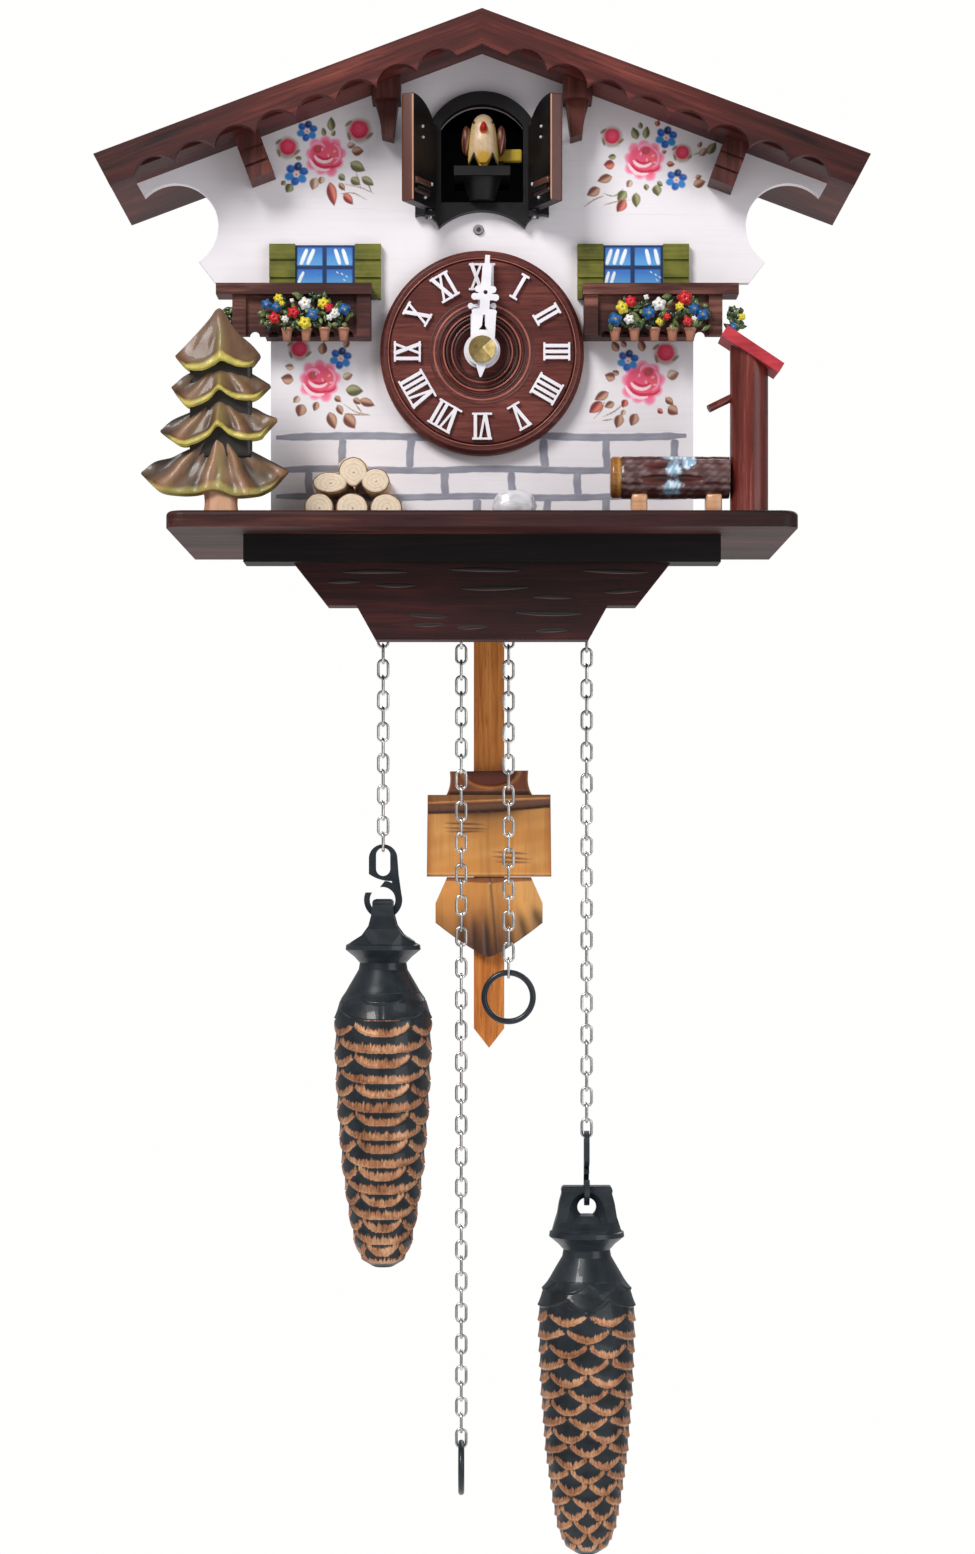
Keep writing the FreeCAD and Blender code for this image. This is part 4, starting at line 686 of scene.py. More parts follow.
def cone_shell(name):
    """The moulded scales: overlapping rows whose lips stand proud and meet at the mould's two seams."""
    node = "cone_weight_" + name
    low, high = (np.array(corner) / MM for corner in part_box(node))
    centre_x, centre_y = (low[0] + high[0]) / 2, (low[1] + high[1]) / 2
    top = low[2] + CONE_DEEP
    rows, columns = 250, 168
    depth = np.linspace(-31.5, -127.6, rows)[:, None]
    turn = np.linspace(0, 360, columns, endpoint=False)[None, :]
    scaly = 0.0 if name == "left" else 90.0
    local = np.abs((turn - scaly + 180) % 360 - 180)
    local = np.minimum(local, 180 - local)
    angle = np.broadcast_to(local, (rows, columns))
    edges = []
    for row, lobes in [(CENTRE_ROWS, CENTRE_LOBES), (SIDE_ROWS, SIDE_LOBES)]:
        edges += [(level, lobes) for level in row]
    edges.sort(key=lambda e: -e[0])
    above = np.full((rows, columns), 99.0)
    order = np.zeros((rows, columns))
    taken = np.zeros((rows, columns), bool)
    for number, (level, lobes) in enumerate(edges):
        lower = level + 3.6 - lobe_edge(angle, lobes, 3.6)
        here = (depth >= lower) & ~taken
        above = np.where(here, depth - lower, above)
        order = np.where(here, number, order)
        taken |= here
    above = np.where(taken, above, 3.0)
    lip = np.exp(-(above / 3.2)) * 1.15
    curl = step_up(above, 0.0, 0.55)
    fade = step_up(-depth, 31.0, 37.0) * (1 - step_up(-depth, 124.5, 127.4) * 0.7)
    lift = 0.12 + (lip * (0.15 + 0.85 * curl)) * fade
    seam = np.exp(-((90.0 - angle) / 1.1) ** 2)
    lift = lift - 0.22 * seam * fade
    radius = np.interp(-depth, [-p[0] for p in CONE_PROFILE], [p[1] for p in CONE_PROFILE]) + lift
    angles = np.radians(np.broadcast_to(turn, (rows, columns)))
    x = centre_x + radius * np.cos(angles)
    y = centre_y + radius * np.sin(angles)
    z = top + np.broadcast_to(depth, (rows, columns))
    seam_side = step_up(angle, 48, 66)
    reach = (4.1 + 0.9 * seam_side) * (0.75 + 0.25 * ripple(angle, z, 0.5, 3))
    middle = np.zeros((rows, columns))
    for number, (level, lobes) in enumerate(edges):
        hang = lobe_edge(angle, lobes, 1.0)
        middle = np.where(order == number, hang, middle)
    cover = np.clip(1.25 - above / reach, 0, 1) * step_up(middle, -0.05, 0.3)
    start = np.where(seam_side > 0.5, 39.5, 41.0)
    cover *= step_up(-z + top, start, start + 3.0)
    cover *= 1 - step_up(-z + top, 125.5, 127.4)
    tint = np.stack([cover, np.clip(above / 4.5, 0, 1), curl], -1)
    points = np.stack([x, y, z], -1).reshape(-1, 3)
    faces = grid_faces(rows, columns, wrap=True, flip=True)
    caps = np.array([[centre_x, centre_y, top - 31.0], [centre_x, centre_y, low[2] + 0.02]])
    count = rows * columns
    for k in range(columns):
        after = (k + 1) % columns
        faces.append((k, count, after))
        last = (rows - 1) * columns
        faces.append((last + after, count + 1, last + k))
    points = np.concatenate([points, caps])
    tint = np.concatenate([tint.reshape(-1, 3), np.zeros((2, 3))])
    piece("cone_scales_" + name, points, faces, CONE_LOOK, "cone_" + name, tint, "dark_plastic")


def cone_look():
    """Black moulding with copper dry-brushed down over the lips of the scales."""
    g = Graph("brushed_cone", coat=0.2)
    cover, _, _ = g.node("SeparateColor", [(0, g.attribute("tint"))]).outputs
    streak = g.noise(1500, g.stretched((1, 1, 0.16)), detail=4, rough=0.65)
    cloud = g.noise(160, detail=3)
    amount = g.range(g.math("ADD", cover, g.math("MULTIPLY", streak, 0.9)), 0.86, 1.06)
    copper = g.ramp(g.mix(0.5, streak, cloud), [(0.32, rgb(96, 58, 40)), (0.5, rgb(178, 122, 86)),
                                                (0.68, rgb(226, 178, 138))])
    black = g.ramp(cloud, [(0.35, rgb(20, 24, 28)), (0.7, rgb(40, 47, 53))])
    g.colour(g.mix(amount, black, copper))
    g.set("Metallic", g.range(amount, 0, 1, 0.0, 0.45))
    g.rough(streak, 0.3, 0.5)
    g.bump(streak, 0.35, 0.12 * MM)
    g.bump(cloud, 0.2, 0.3 * MM)
    return g.mat


# --- Painting on the wall --------------------------------------------------------------------------
ROSE, DEEP_ROSE = rgb(236, 84, 122), rgb(204, 38, 72)
PALE_ROSE, BLUSH = rgb(246, 160, 190), rgb(252, 214, 224)
CORAL = rgb(236, 92, 112)
SKY, COBALT, NAVY = rgb(44, 132, 206), rgb(26, 84, 172), rgb(24, 34, 92)
LEAF_TONES = {"g": (rgb(160, 158, 112), rgb(86, 84, 52)), "b": (rgb(196, 152, 128), rgb(112, 60, 44)),
              "p": (rgb(216, 190, 170), rgb(140, 98, 80)), "r": (rgb(216, 122, 104), rgb(126, 36, 36))}
STEM = rgb(158, 128, 106)
OLIVE = rgb(132, 118, 92)
MOTIFS = {
    "upper_left": {
        "box": (-72.4, -36.0, -22.0, 11.5),
        "rose": (-53.9, -3.9, 7.4, -56.6, -1.5),
        "buds": [(-42.4, 5.2, 4.2), (-67.0, -0.8, 3.7)],
        "blue": [(-60.3, 4.7, 3.7), (-64.0, -10.1, 4.2)],
        "leaves": [(-52.0, 7.1, 4.4, 2.5, "g"), (-54.6, 4.4, 2.7, 1.6, "g"), (-51.2, 3.9, 2.1, 1.3, "g"),
                   (-42.9, -2.2, 3.7, 3.0, "b"), (-45.1, -0.2, 2.7, 2.0, "p"), (-42.9, -7.6, 5.2, 3.3, "g"),
                   (-43.6, -12.6, 3.5, 2.7, "g"), (-39.4, -12.6, 4.5, 2.5, "g"),
                   (-48.3, -11.3, 2.6, 2.1, "g"), (-57.9, -13.5, 3.9, 2.9, "p"),
                   (-55.4, -12.3, 2.5, 2.0, "p"), (-66.5, -15.0, 3.1, 2.7, "g"),
                   (-68.5, -13.3, 2.0, 1.5, "g"), (-63.3, -4.7, 2.0, 1.4, "g"),
                   (-51.7, -17.0, 7.4, 3.1, "r"), (-46.1, -18.7, 4.5, 2.5, "r"),
                   (-48.3, -14.5, 3.0, 1.8, "b")],
        "stems": [[(-47.8, -13.5), (-41.9, -14.8), (-36.9, -17.0)],
                  [(-49.0, -17.0), (-44.3, -16.7), (-39.9, -19.0)],
                  [(-39.4, -13.5), (-38.2, -16.0)], [(-43.6, -9.1), (-41.9, -14.5)]],
    },
    "upper_right": {
        "box": (34.4, 72.4, -24.0, 10.5),
        "rose": (55.9, -5.4, 7.4, 56.4, -2.0),
        "buds": [(44.8, 2.9, 3.5), (69.0, -2.7, 3.1)],
        "blue": [(63.5, 2.5, 3.9), (67.0, -12.1, 3.8)],
        "leaves": [(52.7, 3.9, 3.9, 2.5, "g"), (54.6, 6.6, 2.2, 1.5, "g"), (56.6, 4.2, 3.9, 2.2, "g"),
                   (43.8, -6.9, 3.4, 3.0, "r"), (44.8, -4.2, 2.5, 1.8, "g"), (42.3, -11.8, 4.7, 2.8, "b"),
                   (38.4, -16.3, 4.5, 3.0, "b"), (50.7, -13.5, 2.6, 2.0, "p"), (56.6, -14.7, 2.1, 1.7, "g"),
                   (60.3, -15.8, 3.5, 2.9, "g"), (61.3, -13.5, 2.1, 1.5, "g"), (48.2, -17.7, 3.9, 3.0, "g"),
                   (48.0, -21.2, 4.5, 3.0, "r"), (53.1, -19.1, 4.5, 2.7, "g"), (65.0, -6.7, 2.6, 1.8, "r"),
                   (62.8, -2.5, 1.6, 1.3, "r"), (60.5, 7.4, 2.0, 1.7, "r")],
        "stems": [[(35.2, -21.4), (38.6, -19.0), (41.8, -17.7)],
                  [(41.8, -20.9), (46.0, -19.7), (50.9, -19.0)],
                  [(41.6, -16.8), (45.5, -17.7), (48.5, -15.3)]],
    },
    "upper_right_end": {
        "box": (72.45, 82.2, -17.0, 3.0),
        "rose": None, "buds": [], "blue": [],
        "leaves": [(79.2, -1.2, 4.5, 2.6, "g"), (76.3, -2.5, 3.4, 2.2, "p"), (75.1, 0.0, 2.1, 1.3, "b"),
                   (74.9, -13.3, 3.9, 2.8, "b"), (74.6, -11.1, 2.1, 1.5, "b")],
        "stems": [[(73.0, -3.4), (75.6, -2.6), (79.0, -1.4)]],
    },
    "lower_left": {
        "box": (-70.6, -36.5, -98.6, -66.6),
        "rose": (-55.9, -81.3, 7.6, -58.3, -79.6),
        "buds": [(-63.0, -70.4, 3.6)],
        "blue": [(-48.7, -73.6, 3.9)],
        "leaves": [(-54.9, -70.2, 3.9, 2.8, "b"), (-46.7, -68.7, 2.6, 1.9, "b"),
                   (-66.4, -76.6, 2.8, 2.0, "p"), (-67.2, -80.8, 3.9, 3.3, "b"),
                   (-46.3, -79.8, 3.3, 2.4, "p"), (-44.0, -84.7, 5.4, 3.6, "g"),
                   (-43.1, -88.4, 2.8, 2.0, "b"), (-39.6, -88.9, 4.9, 2.7, "b"),
                   (-49.7, -87.7, 2.5, 1.9, "b"), (-64.0, -87.9, 2.8, 2.0, "p"),
                   (-57.3, -90.2, 3.1, 2.1, "b"), (-62.5, -91.6, 4.1, 3.5, "b"),
                   (-49.0, -91.4, 3.4, 2.2, "b"), (-51.7, -95.1, 5.5, 3.2, "b"),
                   (-45.5, -95.3, 5.4, 3.8, "b")],
        "stems": [[(-48.5, -88.9), (-43.5, -92.1), (-38.6, -93.1)],
                  [(-47.0, -92.6), (-42.6, -93.1), (-38.6, -93.2)],
                  [(-43.5, -89.7), (-41.6, -92.1)]],
    },
    "lower_right": {
        "box": (36.5, 69.5, -98.6, -66.8),
        "rose": (55.5, -82.0, 8.1, 57.2, -78.3),
        "buds": [(63.3, -71.7, 3.9)],
        "blue": [(50.3, -74.4, 3.8)],
        "leaves": [(45.9, -69.5, 3.7, 2.5, "b"), (48.8, -68.7, 2.5, 1.8, "b"), (55.0, -69.2, 3.9, 2.5, "b"),
                   (65.8, -79.3, 3.9, 3.2, "p"), (44.1, -80.0, 3.4, 2.9, "b"), (46.1, -78.6, 2.3, 1.7, "b"),
                   (41.2, -86.7, 4.9, 2.8, "b"), (39.2, -90.6, 5.2, 3.2, "r"), (43.9, -89.7, 3.3, 2.3, "b"),
                   (49.1, -89.2, 2.8, 2.2, "r"), (64.6, -88.4, 3.3, 2.2, "b"), (65.8, -91.6, 3.7, 3.3, "b"),
                   (61.4, -91.9, 2.1, 1.7, "r"), (47.1, -95.3, 4.4, 3.0, "b"), (52.3, -94.8, 4.2, 3.0, "b"),
                   (48.6, -92.4, 2.1, 1.5, "p")],
        "stems": [[(38.7, -94.3), (41.2, -91.4), (42.2, -88.4)],
                  [(41.7, -93.8), (45.6, -91.9), (48.6, -89.4)],
                  [(41.7, -95.1), (45.1, -94.6)]],
    },
}
PANEL_FRONT_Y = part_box("front_panel")[0][1] / MM
PANEL_PALE = rgb(233, 228, 233)
BRICK_LEVELS = [(-100.6, -71.0, 70.4, 3.1), (-112.0, -71.0, 70.4, 3.0), (-121.4, -71.0, 70.4, 2.9)]
BRICK_UPRIGHTS = [(-101.6, -111.2, (-48.0, -24.6, 21.5, 43.0, 66.5)),
                  (-112.9, -120.6, (-59.5, -12.7, 10.4, 33.0, 52.0)),
                  (-122.3, -131.4, (-29.0, -1.5, 22.5, 43.0))]


class Canvas:
    """A thin closed skin of paint whose colours are brushed on point by point, in millimetres."""

    def __init__(self, x0, x1, z0, z1, step, base):
        across, down = int((x1 - x0) / step) + 1, int((z1 - z0) / step) + 1
        self.x, self.z = np.meshgrid(np.linspace(x0, x1, across), np.linspace(z1, z0, down))
        self.colour = np.broadcast_to(np.array(base[:3]), self.x.shape + (3,)).copy()
        self.lift = np.zeros(self.x.shape)

    def lay(self, amount, colour, lift=0.05):
        self.colour = blended(self.colour, colour, amount)
        self.lift = np.maximum(self.lift, amount * lift)

    def dab(self, x, z, across, up, colour, turn=0.0, soft=0.2, strength=1.0):
        a = math.radians(turn)
        u = (self.x - x) * math.cos(a) + (self.z - z) * math.sin(a)
        v = -(self.x - x) * math.sin(a) + (self.z - z) * math.cos(a)
        distance = np.hypot(u / across, v / up) + 0.05 * ripple(self.x, self.z, 1.4, x)
        self.lay(strength * (1 - step_up(distance, 1 - soft, 1 + soft * 0.3)), colour)

    def stroke(self, points, width, colour, soft=0.25, taper=0.6, strength=1.0):
        """A brush stroke along a curve, thinner towards its ends."""
        line = smooth_curve(points, 10)
        for k, (x, z) in enumerate(line):
            t = k / max(len(line) - 1, 1)
            half = 0.5 * width * (1 - taper * abs(2 * t - 1) ** 2.5)
            near = (np.abs(self.x - x) < half * 2) & (np.abs(self.z - z) < half * 2)
            if near.any():
                d = np.hypot(self.x[near] - x, self.z[near] - z) / half
                amount = strength * (1 - step_up(d, 1 - soft, 1 + soft))
                self.colour[near] = blended(self.colour[near], colour, amount)
                self.lift[near] = np.maximum(self.lift[near], amount * 0.05)

    def arc(self, x, z, radius, start, end, width, colour, squash=1.0, strength=1.0):
        angles = np.radians(np.linspace(start, end, 7))
        points = [(x + radius * math.cos(a), z + radius * squash * math.sin(a)) for a in angles]
        self.stroke(points, width, colour, strength=strength)

    def part(self, front, thick=0.35):
        return slab_part(self.x, self.z, front - self.lift, front + thick, self.colour)


def paint_rose(c, x, z, r, heart_x, heart_z):
    for k in range(9):
        a = math.radians(40 * k + 12)
        reach = r * (0.62 + 0.06 * math.sin(3 * k))
        c.dab(x + reach * math.cos(a), z + reach * math.sin(a), r * 0.38, r * 0.32, PALE_ROSE, 40 * k, 0.25)
        c.dab(x + reach * math.cos(a), z + reach * math.sin(a), r * 0.30, r * 0.24, ROSE, 40 * k, 0.4, 0.6)
    for k in range(7):
        a = math.radians(51 * k - 60)
        c.dab(x + 0.52 * r * math.cos(a), z + 0.50 * r * math.sin(a), r * 0.36, r * 0.26, ROSE, 51 * k + 30,
              0.5)
    c.dab(x + 0.12 * r, z - 0.02 * r, r * 0.62, r * 0.58, ROSE, 15, 0.4)
    c.dab(x + 0.38 * r, z + 0.05 * r, r * 0.36, r * 0.55, CORAL, -15, 0.5)
    c.arc(x - 0.02 * r, z + 0.02 * r, r * 0.74, 195, 285, r * 0.16, BLUSH, 0.9, 0.85)
    c.arc(x, z, r * 0.62, 200, 300, r * 0.13, DEEP_ROSE, 0.85, 0.9)
    c.arc(x - 0.05 * r, z + 0.12 * r, r * 0.48, 200, 320, r * 0.15, BLUSH, 0.8, 0.95)
    c.arc(x - 0.02 * r, z + 0.16 * r, r * 0.38, 200, 320, r * 0.12, DEEP_ROSE, 0.8, 0.8)
    c.arc(x + 0.25 * r, z + 0.1 * r, r * 0.42, -70, 70, r * 0.10, PALE_ROSE, 1.1, 0.8)
    c.arc(x + 0.3 * r, z - 0.15 * r, r * 0.45, 250, 340, r * 0.10, DEEP_ROSE, 0.8, 0.6)
    c.dab(heart_x, heart_z, r * 0.36, r * 0.30, ROSE, 20, 0.4)
    c.arc(heart_x, heart_z, r * 0.33, 20, 175, r * 0.12, PALE_ROSE, 0.85, 0.9)
    c.dab(heart_x, heart_z - 0.02 * r, r * 0.24, r * 0.20, DEEP_ROSE, 20, 0.5)
    c.dab(heart_x + 0.02 * r, heart_z, r * 0.12, r * 0.12, rgb(150, 98, 70), 0, 0.6)
    for k in range(5):
        c.dab(x + r * (0.5 * math.cos(k * 1.9)), z + r * (0.55 * math.sin(k * 2.3) - 0.1), r * 0.10,
              r * 0.05, BLUSH, 70 * k, 0.6, 0.6)


def paint_bud(c, x, z, r):
    c.dab(x, z - 0.08 * r, r * 1.12, r * 1.12, OLIVE, 0, 0.35, 0.85)
    c.dab(x, z + 0.02 * r, r * 0.98, r * 0.96, rgb(232, 196, 190), 0, 0.3, 0.7)
    c.dab(x, z, r * 0.86, r * 0.84, rgb(214, 46, 88), 0, 0.25)
    c.dab(x + 0.1 * r, z + 0.12 * r, r * 0.5, r * 0.5, rgb(238, 78, 110), 20, 0.6, 0.8)
    c.arc(x, z, r * 0.62, 200, 330, r * 0.16, rgb(190, 28, 66), 1.0, 0.6)
    for k in range(5):
        c.dab(x + 0.5 * r * math.cos(k * 1.7), z + 0.5 * r * math.sin(k * 2.9), r * 0.09, r * 0.07,
              DEEP_ROSE, 0, 0.6, 0.6)
    for a in (150, 215, 330):
        c.dab(x + r * math.cos(math.radians(a)), z + r * math.sin(math.radians(a)), r * 0.42, r * 0.16,
              OLIVE, a + 70, 0.4)


def paint_blue(c, x, z, r):
    for k in range(6):
        a = math.radians(60 * k + 20)
        tone = NAVY if k == 1 else (SKY if k % 2 else COBALT)
        px, pz = x + 0.62 * r * math.cos(a), z + 0.62 * r * math.sin(a)
        c.dab(px, pz, r * 0.42, r * 0.37, tone, 60 * k, 0.3)
        c.dab(px + 0.1 * r, pz + 0.08 * r, r * 0.2, r * 0.15, SKY, 60 * k, 0.7, 0.7)
    c.dab(x, z, r * 0.26, r * 0.24, rgb(240, 206, 196), 0, 0.4)
    c.dab(x, z - 0.05 * r, r * 0.10, r * 0.10, rgb(206, 90, 80), 0, 0.5)


def paint_leaf(c, x, z, long, wide, tone, turn):
    light, dark = LEAF_TONES[tone]
    a = math.radians(turn)
    u = ((c.x - x) * math.cos(a) + (c.z - z) * math.sin(a)) / (long * 0.58)
    v = (-(c.x - x) * math.sin(a) + (c.z - z) * math.cos(a)) / (wide * 0.58)
    limit = np.clip(1 - np.abs(u) ** 2.2, 0, 1) * (1 - 0.25 * u)
    inside = 1 - step_up(np.abs(v) - limit, -0.22, 0.06)
    inside = inside * (np.abs(u) < 1.05)
    c.lay(inside, light)
    c.lay(inside * step_up(-v + 0.35 * u, -0.35, 0.35), dark)
    c.lay(inside * step_up(np.abs(v) - limit, -0.45, -0.1) * 0.7, tuple(0.7 * part for part in dark))


def paint_motif(name, motif):
    c = Canvas(*motif["box"], 0.27, PANEL_PALE)
    for line in motif["stems"]:
        c.stroke(line, 0.5, STEM, taper=0.5)
    heart = motif["rose"][:2] if motif["rose"] else (motif["box"][0] - 8, motif["box"][2])
    for x, z, long, wide, tone in motif["leaves"]:
        turn = math.degrees(math.atan2(z - heart[1], x - heart[0]))
        paint_leaf(c, x, z, long, wide, tone, turn + 12 * math.sin(x * 3.1))
    for bud in motif["buds"]:
        paint_bud(c, *bud)
    if motif["rose"]:
        paint_rose(c, *motif["rose"])
    for flower in motif["blue"]:
        paint_blue(c, *flower)
    points, faces, tint = c.part(PANEL_FRONT_Y - 0.06)
    piece("painted_flowers_" + name, points, faces, PAINT_LOOK, "case", tint, "white_paint", smooth=False)


def ribbon(points, width, seed):
    """One flat brush stroke of mortar paint: a closed ribbon, paler along its middle, ragged at its edges."""
    line = smooth_curve(points, 12)
    step = np.gradient(line, axis=0)
    length = np.maximum(np.hypot(step[:, 0], step[:, 1]), 1e-9)
    side = np.stack([-step[:, 1], step[:, 0]], -1) / length[:, None]
    t = np.linspace(0, 1, len(line))
    half = 0.5 * width * (0.86 + 0.14 * ripple(line[:, 0], line[:, 1], 0.55, seed))
    half *= 0.55 + 0.45 * np.minimum(step_up(t, 0.0, 0.05), 1 - step_up(t, 0.95, 1.0))
    offsets = [-1.0, -0.82, -0.45, 0.0, 0.45, 0.82, 1.0]
    x = np.stack([line[:, 0] + side[:, 0] * half * o for o in offsets])
    z = np.stack([line[:, 1] + side[:, 1] * half * o for o in offsets])
    height = np.array([0.0, 0.05, 0.09, 0.07, 0.09, 0.05, 0.0])[:, None]
    front = PANEL_FRONT_Y - 0.03 - np.broadcast_to(height, x.shape)
    dark, light, edge = (ink(*c) for c in ((118, 119, 134), (172, 172, 184), (206, 204, 213)))
    middle = np.array([0.0, 0.35, 0.85, 1.0, 0.8, 0.3, 0.0])[:, None]
    middle = middle * (0.6 + 0.4 * ripple(x, z, 0.3, seed + 2))
    tint = blended(np.broadcast_to(dark, x.shape + (3,)), light, np.clip(middle * 0.75, 0, 1))
    rim = np.broadcast_to(np.array([1, 0.25, 0, 0, 0, 0.25, 1.0])[:, None], x.shape)
    tint = blended(tint, edge, rim * 0.8)
    return slab_part(x, z, front, PANEL_FRONT_Y + 0.3, tint)


def mortar():
    """Painted brick courses across the foot of the wall."""
    parts, seed = [], 0
    for level, left, right, width in BRICK_LEVELS:
        xs = np.linspace(left, right, 9)
        line = [(x, level + 0.35 * math.sin(x * 0.11 + seed)) for x in xs]
        parts.append(ribbon(line, width, seed))
        seed += 1
    for top, bottom, places in BRICK_UPRIGHTS:
        for x in places:
            sway = 0.35 * math.sin(x * 1.7)
            line = [(x + sway, top), (x - 0.25, (top + bottom) / 2), (x - sway, bottom)]
            parts.append(ribbon(line, 3.3, seed))
            seed += 1
    points, faces, tint = joined(parts)
    piece("painted_mortar", points, faces, PAINT_LOOK, "case", tint, "white_paint", smooth=False)


def wall_look():
    return tinted("wall_painting", rough=(0.42, 0.6), grain="x", drift=0.06, relief=0.12, coat=0.05)


# --- Carved bob ------------------------------------------------------------------------------------
BOB_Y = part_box("pendulum_bob")[0][1] / MM
BOB_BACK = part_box("pendulum_bob")[1][1] / MM
HONEY, AMBER = ink(216, 146, 74), ink(192, 110, 48)
BURNT, SCORCH = ink(110, 58, 32), ink(58, 32, 22)
HONEY_PALE = ink(238, 182, 112)
RUSSET = ink(112, 52, 34)
NECK_BOX = (-11.4, 16.4, -223.2, -214.7)
PANEL_BOX = (-19.4, 24.6, -252.4, -223.1)
LEAF_TOP, LEAF_TIP = -252.6, -281.2
BOB_CUTS = [(-14.0, 1.6, -233.3, -0.5), (-14.4, 2.8, -235.0, -0.4), (-13.2, 1.6, -236.3, 0.1),
            (3.0, 17.0, -243.5, -0.8), (3.0, 18.4, -245.1, -1.3), (4.4, 17.8, -247.1, -0.3)]


def bob_neck():
    """The neck: scooped sides, a half-round hollow at its top and a dark band above the panel."""
    rows, columns = 36, 90
    v = np.linspace(0, 1, rows)[:, None]
    u = np.linspace(-1, 1, columns)[None, :]
    half = 14.0 - 0.25 * np.sin(v * math.pi) + 1.3 * v ** 3
    x = 2.5 + u * half
    z = NECK_BOX[3] + (NECK_BOX[2] - NECK_BOX[3]) * v + 0.15 * u
    scoop = np.hypot((x - 3.0) / 9.6, (z - NECK_BOX[3]) / 5.6)
    hollow = 1 - step_up(scoop, 0.86, 1.0)
    rim = np.exp(-((scoop - 1.06) / 0.07) ** 2)
    band = step_up(v, 0.80, 0.90)
    front = BOB_Y + 0.55 + 0.55 * hollow - 0.25 * rim + 0.45 * band
    tint = np.broadcast_to(BURNT * 1.25, x.shape + (3,)).copy()
    tint = blended(tint, AMBER, np.exp(-((x - 2.0) / 8.0) ** 2) * (0.4 + 0.3 * ripple(x, z, 0.5)))
    tint = blended(tint, RUSSET, hollow)
    tint = blended(tint, RUSSET * 0.45, hollow * (1 - step_up(v, 0.0, 0.35)))
    tint = blended(tint, HONEY, rim * 0.35)
    tint = blended(tint, SCORCH * 0.8, band * 0.9)
    tint = blended(tint, HONEY * 0.8, step_up(np.abs(u), 0.93, 1.0) * 0.6 + 0 * v)
    return slab_part(x, z, front, BOB_BACK, tint)


def bob_panel():
    """The panel: a scorched V groove under its top edge, two sets of three cuts, and a stepped lower edge."""
    rows, columns = 110, 170
    v = np.linspace(0, 1, rows)[:, None]
    u = np.linspace(-1, 1, columns)[None, :]
    half = 21.9 + 0.3 * v
    x = 2.5 + u * half
    top = PANEL_BOX[3] - 0.1 + 0.05 * u
    z = top + (PANEL_BOX[2] - top) * v
    line = -226.2 + 0.9 * (u + 0.1)
    lip = -229.2 + 1.2 * u + 0.45 * u * u
    groove = step_up(line + 1.1 - z, 0.0, 0.9) * (1 - step_up(lip - z, -0.15, 0.25))
    depth = 1.35 * groove * np.clip(1 - (z - lip) / 4.2, 0.35, 1)
    front = BOB_Y + 0.02 + depth
    cuts = np.zeros_like(x)
    for x0, x1, level, slope in BOB_CUTS:
        t = np.clip((x - x0) / (x1 - x0), 0, 1)
        swell = np.sin(t * math.pi) ** 0.6
        d = np.abs(z - (level + slope * t)) / (0.12 + 0.26 * swell)
        cuts = np.maximum(cuts, np.exp(-d ** 2) * ((x > x0) & (x < x1)) * swell)
    edge = step_up(v, 0.968, 0.985)
    front = front + 0.55 * cuts + 0.25 * edge + 0 * x
    tint = np.broadcast_to(HONEY, x.shape + (3,)).copy()
    tint = blended(tint, HONEY_PALE, np.clip(0.5 * ripple(x * 0.3, z, 0.35, 4) + 0.15, 0, 1) * 0.8)
    scorch = np.exp(-np.clip(lip - z, 0, None) / 3.4) * np.exp(-((x - 2.0) / 13.0) ** 4) * (z < lip)
    tint = blended(tint, SCORCH, scorch * 0.95)
    tint = blended(tint, AMBER, step_up(np.abs(u), 0.86, 1.0) * 0.7 + 0 * v)
    tint = blended(tint, BURNT * 0.9, groove * 0.92)
    tint = blended(tint, SCORCH * 0.55, groove * np.exp(-np.abs(z - lip - 0.5) / 0.7))
    tint = blended(tint, BURNT, np.clip(1 - step_up(line + 1.1 - z, -0.2, 0.0), 0, 1) * 0.75)
    tint = blended(tint, SCORCH, cuts * 0.8)
    tint = blended(tint, HONEY_PALE, np.exp(-((v - 0.962) / 0.008) ** 2) * 0.7)
    tint = blended(tint, BURNT, edge * 0.5 + 0 * x)
    tint = blended(tint, BURNT * 0.8, step_up(np.abs(u), 0.985, 1.0) * 0.8 + 0 * v)
    return slab_part(x, z, front, BOB_BACK, tint)


